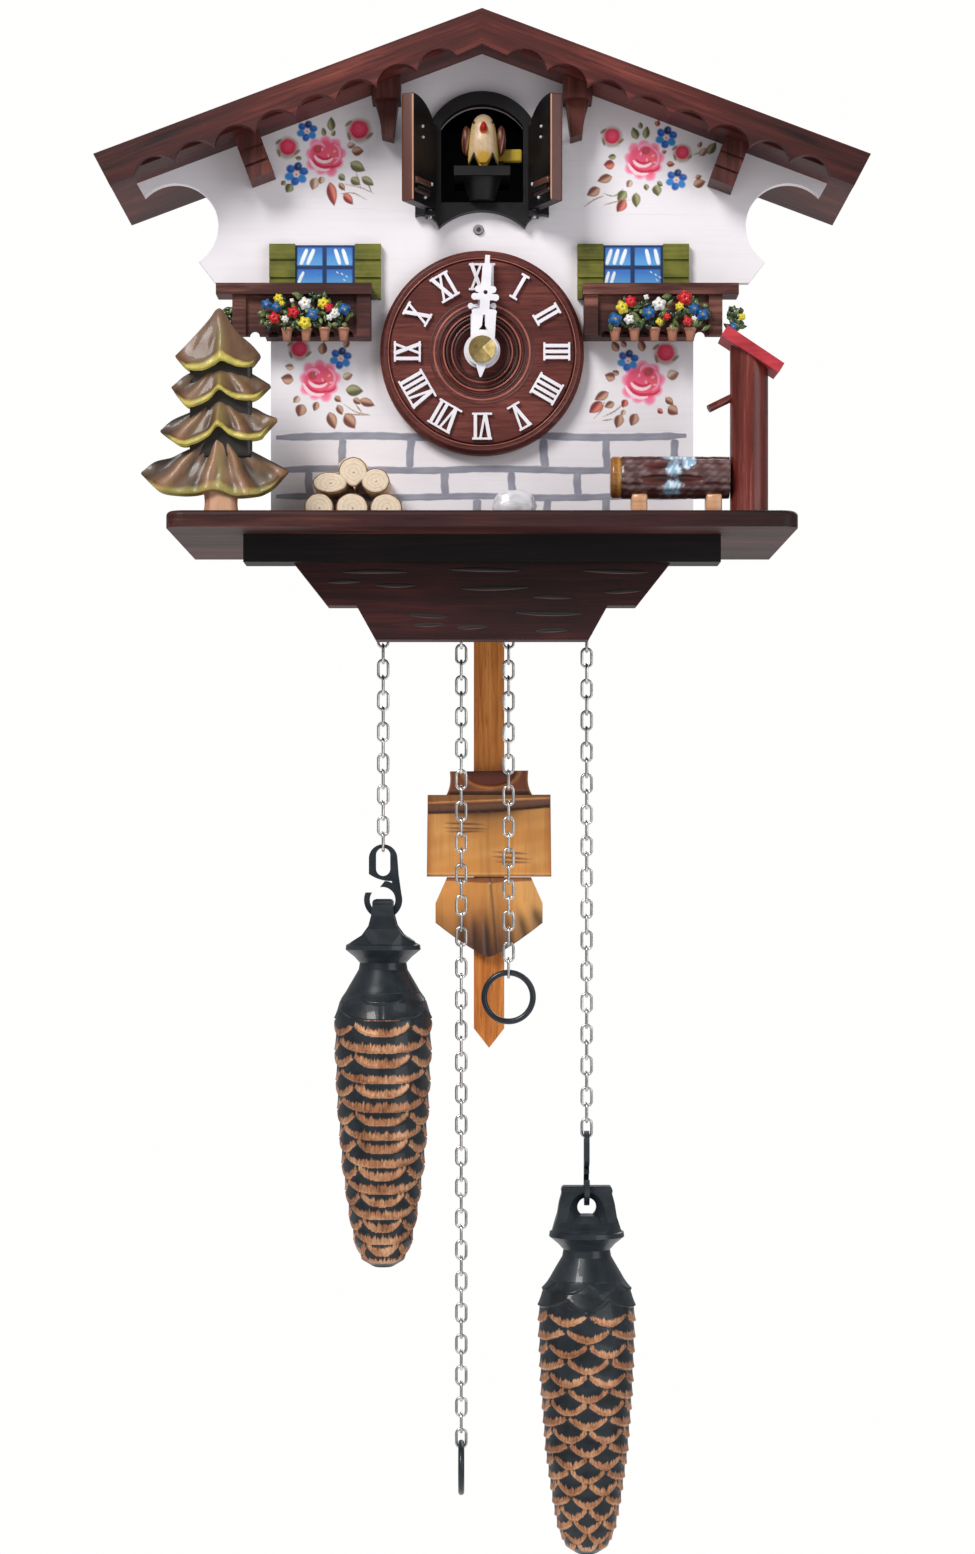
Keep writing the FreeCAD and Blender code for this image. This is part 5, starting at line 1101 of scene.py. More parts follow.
def bob_leaf():
    """The hanging leaf: a ridge down its middle, flutes that deepen towards a scorched tip."""
    rows, columns = 96, 120
    v = np.linspace(0, 1, rows)[:, None]
    u = np.linspace(-1, 1, columns)[None, :]
    turn = 0.57
    half = 15.0 + 4.1 * np.clip(v / turn, 0, 1)
    x = 2.5 + u * half
    low = LEAF_TIP + 0.15 + 12.2 * np.abs(u) ** 1.25
    z = LEAF_TOP + (low - LEAF_TOP) * v
    lean = 3.0 + 2.4 * v
    fan = (x - lean) / (1.0 + 0.35 * v)
    ridge = np.exp(-(fan / 0.5) ** 2)
    flutes = np.zeros_like(x)
    for place, wide in [(-9.5, 1.2), (-6.0, 1.1), (-2.6, 0.9), (3.6, 1.0), (7.4, 1.2), (11.5, 1.3)]:
        flutes = np.maximum(flutes, np.exp(-((fan - place) / wide) ** 2))
    flutes = flutes * step_up(v, 0.22, 0.75)
    ledge = 1 - step_up(v, 0.06, 0.09)
    front = BOB_Y + 0.75 - 0.25 * ridge + 0.55 * flutes + 0.35 * ledge - 0.25 * step_up(v, 0.09, 0.5)
    tint = np.broadcast_to(HONEY, x.shape + (3,)).copy()
    tint = blended(tint, HONEY_PALE, step_up(u, 0.1, 0.9) * 0.55 + 0 * v)
    middle = np.exp(-((x - 1.0) / 9.5) ** 2)
    tint = blended(tint, BURNT, np.clip(middle * step_up(v, 0.12, 0.75), 0, 1) * 0.85)
    tint = blended(tint, SCORCH, step_up(v, 0.5, 1.0) * (0.35 + 0.5 * middle))
    tint = blended(tint, SCORCH * 0.7, flutes * step_up(v, 0.3, 0.8) * 0.75)
    tint = blended(tint, SCORCH, ridge * 0.6 + 0 * x)
    tint = blended(tint, HONEY_PALE, np.exp(-((fan + 1.0) / 0.55) ** 2) * 0.35 * (1 - v))
    tint = blended(tint, RUSSET, ledge * 0.75 + 0 * x)
    tint = blended(tint, BURNT * 0.7, step_up(v, 0.975, 1.0) * 0.8 + 0 * x)
    return slab_part(x, z, front, BOB_BACK, tint)


def bob():
    points, faces, tint = joined([bob_neck(), bob_panel(), bob_leaf()])
    look = tinted("bob_carving", rough=(0.30, 0.46), coat=0.12, grain="z", scale=1.0, drift=0.35,
                  relief=0.35)
    piece("bob_carved_face", points, faces, look, "bob", tint, "chestnut_wood", ["pendulum_bob"])


# --- Balcony flowers -------------------------------------------------------------------------------
BLOOM = {"red": rgb(206, 26, 34), "blue": rgb(18, 92, 158), "yellow": rgb(232, 212, 52),
         "white": rgb(240, 240, 240)}
LEFT_BLOOMS = [("blue", -73.3, -57.8, 1.7), ("blue", -69.9, -58.6, 1.7), ("yellow", -69.3, -55.8, 1.5),
               ("yellow", -68.0, -57.5, 0.9), ("red", -70.6, -62.4, 1.9), ("white", -66.9, -62.8, 1.2),
               ("red", -64.1, -60.5, 1.9), ("white", -60.2, -57.5, 2.0), ("blue", -57.8, -61.2, 2.1),
               ("yellow", -60.2, -64.1, 2.1), ("yellow", -53.9, -57.5, 1.9), ("red", -52.1, -58.9, 1.5),
               ("white", -50.0, -60.7, 1.6), ("white", -51.8, -62.2, 1.1), ("blue", -46.8, -59.5, 1.9),
               ("white", -64.6, -56.5, 0.7)]
RIGHT_BLOOMS = [("red", 50.5, -56.8, 1.9), ("yellow", 47.7, -59.0, 2.1), ("blue", 45.2, -62.9, 2.2),
                ("white", 49.9, -62.9, 1.6), ("white", 55.8, -55.4, 0.9), ("white", 60.2, -57.7, 2.2),
                ("blue", 56.6, -60.7, 2.1), ("red", 62.7, -62.0, 1.3), ("yellow", 60.2, -63.7, 1.2),
                ("red", 68.8, -55.7, 2.4), ("yellow", 67.1, -58.5, 1.4), ("blue", 72.1, -59.3, 1.9),
                ("blue", 74.9, -61.2, 2.1), ("white", 72.1, -62.6, 0.9), ("red", 69.9, -63.6, 1.6)]
SIDE_BLOOMS = [("yellow", 88.6, -61.5, 1.2), ("blue", 85.6, -64.8, 1.4), ("yellow", -88.4, -60.6, 0.9)]


def bloom(colour, x, z, r, front, rng):
    """One small domed flower with rounded petals and a dimple, closed at the back."""
    rings, around = 8, 30
    petals = rng.choice([4, 5, 5, 6])
    spin = rng.uniform(0, 6.28)
    tip = rng.uniform(-0.35, 0.35)
    main = np.array(BLOOM[colour][:3])
    heart = ink(226, 190, 60) if colour in ("white", "blue") else main * 0.5
    points, tint = [(x, front - 0.55 * r, z)], [heart]
    for k in range(1, rings + 1):
        t = k / rings
        for j in range(around):
            a = 2 * math.pi * j / around
            lobe = 1 + 0.13 * math.cos(petals * (a + spin)) * t
            reach = r * t * lobe
            dome = 0.62 * r * (1 - t ** 2.4) + 0.2 * r * math.sin(math.pi * t)
            dome -= 0.12 * r * math.exp(-(t / 0.22) ** 2)
            crease = 0.10 * r * t * (1 - abs(math.cos(0.5 * petals * (a + spin)))) ** 2
            points.append((x + reach * math.cos(a), front - dome + crease + tip * reach * math.cos(a),
                           z + reach * math.sin(a)))
            # Painted shade: the petals are darkened in the creases between them, more towards the rim.
            shade = 1.0 - 0.35 * (1 - abs(math.cos(0.5 * petals * (a + spin)))) * t
            tint.append(heart if (k == 1 and colour != "red") else main * shade)
    faces = [(0, 1 + j, 1 + (j + 1) % around) for j in range(around)]
    faces += grid_faces(rings, around, 1, wrap=True)
    behind = len(points)
    # Painted shade: the hidden back is darkened.
    points.append((x, front + 0.25 * r, z))
    tint.append(main * 0.4)
    last = 1 + (rings - 1) * around
    faces += [(last + (j + 1) % around, last + j, behind) for j in range(around)]
    faces = [f[::-1] for f in faces]
    return points, faces, tint


def leaflet(x, y, z, long, wide, turn, lean, colour):
    """A small plump leaf, pinched at both ends."""
    rows, around = 7, 8
    points, tint = [], []
    axis = np.array([math.cos(turn), -math.sin(lean), math.sin(turn)])
    axis /= np.linalg.norm(axis)
    side = np.cross(axis, [0, 1, 0])
    side /= np.linalg.norm(side)
    up = np.cross(side, axis)
    for k in range(rows):
        t = k / (rows - 1)
        r = max(math.sin(math.pi * min(max(t, 0.04), 0.96)), 0.1)
        for j in range(around):
            a = 2 * math.pi * j / around
            p = np.array([x, y, z]) + axis * (t - 0.5) * long + side * math.cos(a) * r * wide / 2
            p = p + up * math.sin(a) * r * wide * 0.3
            points.append(tuple(p))
            tint.append(np.array(colour[:3]) * (0.65 + 0.5 * t))
    faces = ring_faces(rows, around)
    return points, faces, tint


def foliage(x0, x1, z0, z1, front, count, rng):
    greens = [rgb(58, 84, 34), rgb(30, 58, 30), rgb(92, 110, 52), rgb(20, 38, 26), rgb(110, 124, 70)]
    parts = []
    for _ in range(count):
        x, z = rng.uniform(x0, x1), rng.uniform(z0, z1)
        middle = 1 - abs(2 * (x - x0) / (x1 - x0) - 1) ** 4
        z = z0 + (z - z0) * (0.55 + 0.45 * middle)
        parts.append(leaflet(x, front + rng.uniform(0.2, 2.4), z, rng.uniform(2.2, 4.2),
                             rng.uniform(1.2, 2.2),
                             rng.uniform(0, 6.28), rng.uniform(-0.4, 0.9), rng.choice(greens)))
    return parts


def pot(x, top, front, half=1.9, tall=4.6):
    """A little turned flowerpot on the balcony's lower ledge."""
    rows, around = 9, 20
    profile = [(0.0, 1.0), (0.02, 1.08), (0.16, 1.08), (0.18, 0.96), (0.4, 0.88), (0.7, 0.76), (0.95, 0.66),
               (1.0, 0.6), (1.0, 0.1)]
    points, tint = [], []
    clay = ink(168, 112, 88)
    for t, r in profile:
        for j in range(around):
            a = 2 * math.pi * j / around
            points.append((x + half * r * math.cos(a), front + 1.9 + half * r * math.sin(a),
                           top - tall * t))
            # Painted shade: the clay is lighter at the rim and darker towards the foot.
            tint.append(clay * (1.12 - 0.3 * t))
    faces = ring_faces(rows, around)
    return points, faces, tint


def flowers():
    rng = random.Random(11)
    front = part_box("balcony_flowers")[0][1] / MM + 1.4
    parts = foliage(-75.0, -44.4, -66.0, -54.2, front, 120, rng)
    parts += foliage(43.5, 77.4, -65.6, -54.4, front, 130, rng)
    for x0, x1 in ((-89.4, -84.6), (84.2, 88.8)):
        parts += foliage(x0, x1, -64.8, -57.6, front + 4.0, 26, rng)
    for colour, x, z, r in LEFT_BLOOMS + RIGHT_BLOOMS:
        parts.append(bloom(colour, x, z, r, front - 0.2 + rng.uniform(-0.3, 0.4), rng))
    for colour, x, z, r in SIDE_BLOOMS:
        parts.append(bloom(colour, x, z, r, front + 3.4, rng))
    for x in (-66.4, -59.9, -53.6, -47.1, 45.3, 51.9, 58.8, 64.8, 70.9):
        parts.append(pot(x, -65.4, front + 0.6))
    points, faces, tint = joined(parts)
    look = tinted("flower_paint", rough=(0.28, 0.45), coat=0.25, scale=2.0, drift=0.3, relief=0.3)
    piece("balcony_blooms", points, faces, look, "case", tint, "flower_mix", ["balcony_flowers"])


# --- Cuckoo and doorway ----------------------------------------------------------------------------
BIRD_X = 0.4
LEAF_PIN = (17.8, -64.3)
LEAF_OPEN = 115.0


def tube(profile, centre, axis="z", squash=(1.0, 1.0), around=24, colour=(0.5, 0.5, 0.5), power=1.0):
    """A closed turned solid: (place along the axis, radius) pairs, flattened and squared off as asked."""
    points, tint = [], []
    for place, radius in profile:
        for j in range(around):
            a = 2 * math.pi * j / around
            c, s = math.cos(a), math.sin(a)
            p = math.copysign(abs(c) ** power, c) * radius * squash[0]
            q = math.copysign(abs(s) ** power, s) * radius * squash[1]
            spot = {"x": (place, p, q), "y": (p, place, q), "z": (p, q, place)}[axis]
            points.append(tuple(np.array(centre) + spot))
            tint.append(colour(a, place) if callable(colour) else colour[:3])
    faces = ring_faces(len(profile), around)
    if axis == "y":
        faces = [f[::-1] for f in faces]
    return points, faces, tint


def rounded_bar(x0, x1, y0, y1, z0, z1, colour, edge=0.5):
    """A bar along X with softened edges and ends."""
    half_y, half_z = (y1 - y0) / 2, (z1 - z0) / 2
    places = [(x0, 0.72), (x0 + edge * 0.3, 0.9), (x0 + edge, 1.0), (x1 - edge, 1.0),
              (x1 - edge * 0.3, 0.9), (x1, 0.72)]
    return tube(places, (0, (y0 + y1) / 2, (z0 + z1) / 2), "x", (half_y, half_z), 32, colour, power=0.35)


def cuckoo_body():
    rows, columns = 44, 48
    top, low = 9.6, -7.4
    v = np.linspace(0, 1, rows)[:, None]
    u = np.linspace(-1, 1, columns)[None, :]
    hem = np.interp(u, [-1, -0.62, -0.42, -0.2, 0.2, 0.42, 0.62, 1],
                    [low, -3.8, -6.0, low - 0.2, low - 0.2, -6.0, -3.8, low])
    z = top + (hem - top) * v
    level = top + (low - top) * v
    half = np.interp(-level, [-9.6, -9.0, -8.0, -6.4, -4.5, 0.0, 4.0, 7.4],
                     [0.7, 2.0, 3.0, 3.8, 4.3, 4.9, 5.2, 5.2])
    x = BIRD_X + u * half
    bulge = np.sqrt(np.clip(1 - u ** 2, 0, 1))
    fat = np.interp(-z, [-9.6, -8.6, -6, 0, 4, 7.5], [0.8, 2.6, 4.2, 5.0, 4.4, 3.0])
    front = -61.0 - fat * bulge - 0.4
    cream, shade, sunny = (ink(*c) for c in ((204, 176, 142), (164, 132, 104), (226, 198, 112)))
    tint = np.broadcast_to(cream, z.shape + (3,)).copy()
    tint = blended(tint, shade, np.clip(ripple(x * 2, z * 2, 1.0, 3), 0, 1) * 0.5)
    tint = blended(tint, sunny, step_up(np.abs(u), 0.72, 0.95) + 0 * v)
    belly = (1 - step_up(np.abs(u), 0.3, 0.5)) * step_up(-z, 3.2, 4.4)
    tint = blended(tint, ink(206, 162, 52), belly)
    return slab_part(x, z, front, -57.2, tint)


def speckled(angle, place):
    speck = math.sin(angle * 7 + place * 5.1) * math.sin(place * 6.3 - angle * 3)
    return rgb(186, 124, 98)[:3] if speck > 0.45 else rgb(82, 38, 28)[:3]


def beak():
    rows, around = 9, 22
    points, tint = [], []
    red, orange = rgb(176, 32, 26)[:3], rgb(222, 120, 50)[:3]
    for k in range(rows):
        t = (k + 0.35) / (rows - 0.65)
        for j in range(around):
            a = 2 * math.pi * j / around
            width = 1.35 * (1 - 0.35 * math.sin(a))
            points.append((BIRD_X + 0.1 + t * width * math.cos(a), -66.1 - 2.6 * (1 - t ** 1.6),
                           4.2 + t * 2.1 * math.sin(a)))
            tint.append(orange if t > 0.84 else red)
    faces = ring_faces(rows, around)
    return points, [f[::-1] for f in faces], tint


def cuckoo():
    wing = [(-4.4, 0.3), (-3.6, 1.1), (-2.0, 1.7), (0.6, 2.0), (3.2, 1.8), (5.0, 1.2), (5.9, 0.35)]
    parts = [cuckoo_body(), beak()]
    for x in (-5.4, 6.6):
        parts.append(tube(wing, (x, -60.2, 0.0), "z", (0.85, 1.5), 22, speckled))
    yellow = rgb(208, 168, 58)
    parts.append(tube([(-9.8, 1.5), (-8.0, 1.4), (-7.0, 1.7), (-5.0, 1.6), (-4.0, 1.2)], (BIRD_X, -61.2, 0),
                      "z", (1, 1), 24, yellow))
    for x in (-2.7, 3.5):
        parts.append(tube([(-64.6, 0.15), (-64.5, 0.35), (-64.2, 0.45), (-62.5, 0.45)], (x, 0, 6.2), "y",
                          (1, 1), 12, rgb(30, 26, 20)))
    points, faces, tint = joined(parts)
    look = tinted("cuckoo_paint", rough=(0.35, 0.5), coat=0.1, scale=2.0, drift=0.3, relief=0.35)
    piece("cuckoo_figure", points, faces, look, "cuckoo", tint, "bird_paint", ["bird"])
    points, faces, tint = rounded_bar(5.2, 13.7, -57.5, -54.0, -5.6, -1.3, rgb(206, 176, 52))
    look = tinted("call_lever_plastic", rough=(0.35, 0.5), coat=0.1, scale=2.0, drift=0.2, relief=0.2)
    piece("call_lever", points, faces, look, "cuckoo", tint, "bird_paint")


def swung(points, side, opening=LEAF_OPEN):
    """Points of the shut right leaf, swung to its open place; side -1 mirrors them for the left leaf."""
    pin_x, pin_y = LEAF_PIN
    a = math.radians(opening)
    p = np.asarray(points, float)
    dx, dy = p[:, 0] - pin_x, p[:, 1] - pin_y
    x = pin_x + dx * math.cos(a) - dy * math.sin(a)
    y = pin_y + dx * math.sin(a) + dy * math.cos(a)
    return np.stack([side * x, y, p[:, 2]], -1)


def leaf_details():
    """Each leaf's bare free edge with a thin pale line along it, its rusty batten and the bright heads of its
    pins.
    """
    rust, brown, worn = rgb(84, 50, 38), rgb(80, 36, 26), rgb(188, 140, 112)
    for side, name in ((-1, "left"), (1, "right")):
        parts = []
        edge = tube([(-23.9, 0.9), (-23.5, 1.0), (12.0, 1.0), (12.5, 0.9)], (0.35, -64.3, 0), "z",
                    (0.45, 2.06), 28, lambda a, z: brown[:3], power=0.4)
        parts.append(edge)
        # A thin pale line along the free edge.
        parts.append(tube([(-23.6, 0.2), (-23.0, 0.3), (11.6, 0.3), (12.2, 0.2)], (0.1, -62.2, 0), "z",
                          (1, 1), 10, worn))
        parts.append(tube([(1.6, 0.9), (2.2, 1.25), (12.4, 1.25), (13.0, 0.9)], (0, -62.2, -16.4), "x",
                          (0.8, 1.0), 20, rust))
        parts.append(tube([(1.4, 0.7), (2.0, 1.0), (12.6, 1.0), (13.2, 0.7)], (0, -62.3, -19.8), "x",
                          (0.6, 0.8), 18, rgb(52, 34, 30)))
        for x, z, r in ((7.6, 2.6, 0.55), (7.9, -1.0, 0.5), (14.4, -15.8, 0.7), (9.6, -21.2, 0.55)):
            parts.append(tube([(-62.6, r), (-62.0, r), (-61.7, r * 0.7), (-61.6, r * 0.2)], (x, 0, z), "y",
                              (1, 1), 14, rgb(196, 196, 200)))
        points, faces, tint = joined(parts)
        points = swung(points, side)
        if side < 0:
            faces = [f[::-1] for f in faces]
        piece("leaf_trim_" + name, points, faces, TRIM_LOOK, "leaf_" + name, tint, "dark_wood")


# --- Windows ---------------------------------------------------------------------------------------
# Sides of the window, feet and tops of the brush strokes of its curtains, and its flecks of white.
WINDOWS = {
    "left": ((-64.2, -43.8),
             [(-62.2, -60.4), (-59.9, -58.0)], [(-49.0, -50.4), (-46.4, -47.8)], [(-63.4, -61.5)],
             [(-49.8, -44.4), (-48.2, -44.9), (-46.6, -45.8), (-47.4, -47.0)]),
    "right": ((41.8, 62.2),
              [(43.0, 44.4), (45.5, 46.8), (47.9, 49.4)], [(57.6, 56.6), (60.6, 59.6)],
              [(42.4, 43.6), (44.3, 45.6)],
              [(58.2, -44.3), (59.8, -45.2), (61.2, -46.0), (60.2, -47.0)]),
}


def windows():
    """Painted panes behind dark blue bars, with brushed white curtains."""
    parts = []
    navy, deep, pale, white = rgb(26, 52, 98), rgb(60, 116, 196), rgb(98, 170, 226), rgb(238, 244, 250)
    for (x0, x1), left_top, right_top, left_low, flecks in WINDOWS.values():
        c = Canvas(x0, x1, -53.5, -35.0, 0.22, navy)
        middle = (x0 + x1) / 2 - 0.2
        panes = [(x0 + 0.5, middle - 0.6, -42.1, -35.7), (middle + 0.6, x1 - 0.7, -42.1, -35.7),
                 (x0 + 0.5, middle - 0.6, -49.6, -43.2), (middle + 0.6, x1 - 0.7, -49.6, -43.2)]
        for a, b, low, high in panes:
            inside = step_up(c.x, a, a + 0.3) * (1 - step_up(c.x, b - 0.3, b))
            inside = inside * step_up(c.z, low, low + 0.3) * (1 - step_up(c.z, high - 0.3, high))
            c.colour = blended(c.colour, deep, inside)
            c.colour = blended(c.colour, pale, inside * (1 - step_up(c.z, low, high)) * 0.9)
            c.lift = np.where(inside > 0.5, -0.25, c.lift)
        for low_x, high_x in left_top + right_top:
            c.stroke([(low_x, -41.3), ((low_x + high_x) / 2, -39.0), (high_x, -36.8)], 1.25, white,
                     taper=0.2)
        for low_x, high_x in left_low:
            c.stroke([(low_x, -48.8), ((low_x + high_x) / 2, -46.4), (high_x, -44.4)], 1.0, white,
                     taper=0.3)
        for x, z in flecks:
            c.dab(x, z, 0.55, 0.22, white, -40, 0.4, 0.9)
        parts.append(c.part(-59.9, 1.8))
    points, faces, tint = joined(parts)
    look = tinted("window_painting", rough=(0.25, 0.4), coat=0.2, drift=0.12, relief=0.2, grain="x")
    piece("window_panes", points, faces, look, "case", tint, "window_paint", ["windows"], smooth=False)


# --- Firewood --------------------------------------------------------------------------------------
FIREWOOD_ENDS = [(-55.4, -127.0, 4.9, 4.95), (-44.2, -127.0, 5.4, 4.95), (-32.6, -127.1, 5.4, 4.85),
                 (-51.6, -118.5, 5.9, 3.5), (-36.2, -117.9, 4.8, 4.2), (-43.8, -114.9, 4.9, 5.0)]


def oval_end(x, z, across, up, number):
    """A sawn log end: growth rings off centre, fine checks and a thin brown bark rim."""
    rings, around = 22, 64
    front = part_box("firewood")[0][1] / MM
    points, tint = [(x + 0.3, front - 0.42, z - 0.2)], [rgb(196, 150, 112)[:3]]
    cream, ring_tone, bark = (ink(*c) for c in ((240, 222, 198), (218, 190, 156), (112, 72, 48)))
    for k in range(1, rings + 1):
        t = k / rings
        for j in range(around):
            a = 2 * math.pi * j / around
            wobble = 1 + 0.012 * math.sin(3 * a + number) + 0.01 * math.sin(7 * a + 2 * number)
            cx, cz = x + 0.3 * (1 - t), z - 0.2 * (1 - t)
            px, pz = cx + across * t * wobble * math.cos(a), cz + up * t * wobble * math.sin(a)
            if number == 5:
                px = cx + across * t * math.cos(a) * (1 - 0.35 * step_up(-math.sin(a), 0.1, 1.0))
            lip = 0.32 * float(step_up(t, 0.86, 1.0))
            points.append((px, front - 0.45 + lip, pz))
            wave = 0.5 + 0.5 * math.sin(t * 24 + 0.7 * math.sin(2 * a + number))
            colour = cream * (1 - 0.5 * wave) + ring_tone * 0.5 * wave
            check = math.exp(-((a - 1.3 - number) % 6.28 / 0.05) ** 2) * t
            colour = colour * (1 - 0.4 * check)
            if t > 0.93:
                colour = bark
            tint.append(colour)
    faces = [(0, 1 + (j + 1) % around, 1 + j) for j in range(around)]
    faces += [f[::-1] for f in grid_faces(rings, around, 1, wrap=True)]
    outer = 1 + (rings - 1) * around
    base = len(points)
    for j in range(around):
        px, _, pz = points[outer + j]
        points.append((px, front + 0.6, pz))
        tint.append(bark)
    faces += [(outer + j, base + j, base + (j + 1) % around,
               outer + (j + 1) % around)[::-1] for j in range(around)]
    faces.append(tuple(range(base, base + around)))
    return points, faces, tint


def firewood():
    points, faces, tint = joined([oval_end(*spec, k) for k, spec in enumerate(FIREWOOD_ENDS)])
    look = tinted("log_end_paint", rough=(0.55, 0.7), scale=1.8, drift=0.25, relief=0.4, grain="y")
    piece("firewood_ends", points, faces, look, "case", tint, "pale_wood")


# --- Stone -----------------------------------------------------------------------------------------
def pebble():
    """The lump of pale quartz: broken facets, worn round, sitting flat on the shelf."""
    low, high = (np.array(corner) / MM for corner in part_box("stone"))
    middle, half = (low + high) / 2, (high - low) / 2
    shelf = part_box("base_shelf")[1][2] / MM
    rows, around = 40, 72
    points, tint = [], []
    for k in range(rows):
        phi = math.pi * (k + 0.5) / rows
        for j in range(around):
            a = 2 * math.pi * j / around
            d = Vector((math.sin(phi) * math.cos(a), math.sin(phi) * math.sin(a), math.cos(phi)))
            squared = max(abs(d.x), abs(d.y), abs(d.z)) ** -0.35
            lump = 0.88 * squared + 0.13 * noise.noise(d * 1.5 + Vector((3, 1, 7)))
            lump += 0.03 * noise.noise(d * 3.4)
            lump = min(lump, 0.99)
            p = middle + half * np.array([d.x, d.y, d.z * 0.95]) * lump
            p[2] = max(p[2], shelf + 0.02)
            points.append(tuple(p))
            grey = 0.82 + 0.25 * noise.noise(d * 2.8 + Vector((9, 4, 2)))
            tint.append(ink(238, 236, 243) * min(max(grey, 0.55), 1.0))
    faces = ring_faces(rows, around)
    look = tinted("quartz", rough=(0.22, 0.4), coat=0.3, scale=1.2, drift=0.25, relief=0.4, grain="x")
    skin = look.node_tree.nodes["Principled BSDF"].inputs
    skin["Subsurface Weight"].default_value = 0.25
    skin["Subsurface Radius"].default_value = (0.004, 0.004, 0.005)
    piece("quartz_stone", points, [f[::-1] for f in faces], look, "case", np.array(tint), "pale_stone",
          ["stone"])


# --- Trough ----------------------------------------------------------------------------------------
def trough_log():
    """The water log: bark ridges, a sawn golden end, two carved hollows and splashes of painted water."""
    x0, x1, rows, around = 42.8, 82.3, 120, 80
    centre_y, centre_z, radius = -95.0, -119.2, 6.8
    u = np.linspace(x0, x1, rows)[:, None]
    a = np.linspace(0, 2 * math.pi, around, endpoint=False)[None, :]
    x = np.broadcast_to(u, (rows, around))
    z_dir, y_dir = np.sin(a), np.cos(a)
    z = centre_z + radius * z_dir
    front_face = step_up(-y_dir, 0.0, 0.35)
    bark = 0.16 * np.sin(a * 17 + 0.3 * np.sin(u * 0.6)) + 0.14 * ripple(x, a * 9, 0.8, 2)
    upper = 1 - np.clip(np.abs((x - 62.0) / 9.0) ** 2 + ((z + 115.8) / 1.3) ** 2, 0, 1)
    lower = 1 - np.clip(np.abs((x - 63.0) / 12.0) ** 2 + ((z + 120.6) / 1.9) ** 2, 0, 1)
    hollow = np.maximum(upper, lower) * front_face
    carved = step_up(hollow, 0.0, 0.3)
    end = 1 - step_up(x, x0, x0 + 0.8)
    cap = 1 - step_up(x, x0 + 3.1, x0 + 3.7)
    r = radius + 0.12 - 0.5 * end + bark * (1 - cap) * (1 - carved)
    r = r - 1.1 * carved * np.sqrt(np.clip(hollow, 0, 1))
    r = r - 0.35 * np.exp(-((x - x0 - 3.5) / 0.35) ** 2)
    brown, grey, golden, gold_dark, blood = (ink(*c) for c in (
        (82, 50, 48), (132, 106, 108), (150, 98, 46), (92, 52, 26), (86, 24, 20)))
    tint = np.broadcast_to(brown, (rows, around, 3)).copy()
    tint = blended(tint, grey, np.clip(ripple(x, z, 0.9, 1) + 0.2 + bark, 0, 1))
    # Painted shade: the bark is darkened in its furrows.
    tint = blended(tint, brown * 0.45, np.clip(-bark * 4, 0, 1) * 0.7)
    tint = blended(tint, golden, cap)
    tint = blended(tint, gold_dark, cap * np.clip(ripple(x * 2, z * 3, 1.1, 6), 0, 1))
    tint = blended(tint, ink(190, 140, 60), np.exp(-((x - x0 - 2.6) / 0.5) ** 2) * 0.8)
    # The carved hollows are dark red, and their deepest parts are near black as painted shade.
    tint = blended(tint, blood, carved)
    tint = blended(tint, blood * 0.25, carved * step_up(hollow, 0.45, 0.9))
    water = np.zeros_like(x)
    for wx, wz, across, up, tilt in ((64.6, -113.0, 5.4, 1.5, -0.12), (68.6, -114.6, 2.6, 3.0, 0.3),
                                     (63.8, -117.0, 3.3, 3.2, 0.1), (63.2, -123.2, 3.6, 2.8, 0.15)):
        d = np.hypot((x - wx - tilt * (z - wz)) / across, (z - wz) / up) + 0.25 * ripple(x, z, 1.7, wx)
        water = np.maximum(water, 1 - step_up(d, 0.6, 1.0))
    water = water * front_face
    tint = blended(tint, ink(142, 182, 208), water * 0.9)
    tint = blended(tint, ink(226, 236, 244), water * step_up(ripple(x, z * 0.4, 1.9, 4), -0.1, 0.35) * 0.9)
    y = centre_y + r * y_dir
    z = centre_z + r * z_dir
    points = np.stack([x, y, z], -1).reshape(-1, 3)
    faces = list(grid_faces(rows, around, wrap=True))
    count = rows * around
    ends = np.array([[x0, centre_y, centre_z], [x1, centre_y, centre_z]])
    for j in range(around):
        after = (j + 1) % around
        faces.append((j, after, count)[::-1])
        faces.append(((rows - 1) * around + after, (rows - 1) * around + j, count + 1)[::-1])
    tint = np.concatenate([tint.reshape(-1, 3), np.array([golden, brown])])
    parts = [(np.concatenate([points, ends]), faces, tint)]
    for fx0, fx1 in ((49.6, 55.0), (74.4, 79.8)):
        parts.append(rounded_bar(fx0, fx1, -99.2, -90.8, -132.0, -124.6, rgb(214, 160, 118)))
    points, faces, tint = joined(parts)
    look = tinted("trough_paint", rough=(0.25, 0.42), coat=0.25, scale=1.4, drift=0.4, relief=0.5,
                  grain="x")
    piece("trough_carving", points, faces, look, "case", tint, "log_wood", ["trough"])


# --- Chisel cuts -----------------------------------------------------------------------------------
APRON_CUTS = [(-47.0, -25.0, -149.9), (-10.8, 12.6, -149.2), (33.8, 56.0, -149.6), (-36.0, -22.4, -154.2),
              (-7.4, 15.4, -155.2), (41.0, 53.4, -156.4), (-52.0, -41.0, -153.2), (17.0, 30.0, -158.4),
              (-24.8, -11.2, -164.6), (11.2, 33.8, -163.7), (-23.4, -12.4, -167.4), (-8.4, 2.0, -168.4),
              (18.0, 29.0, -169.6)]


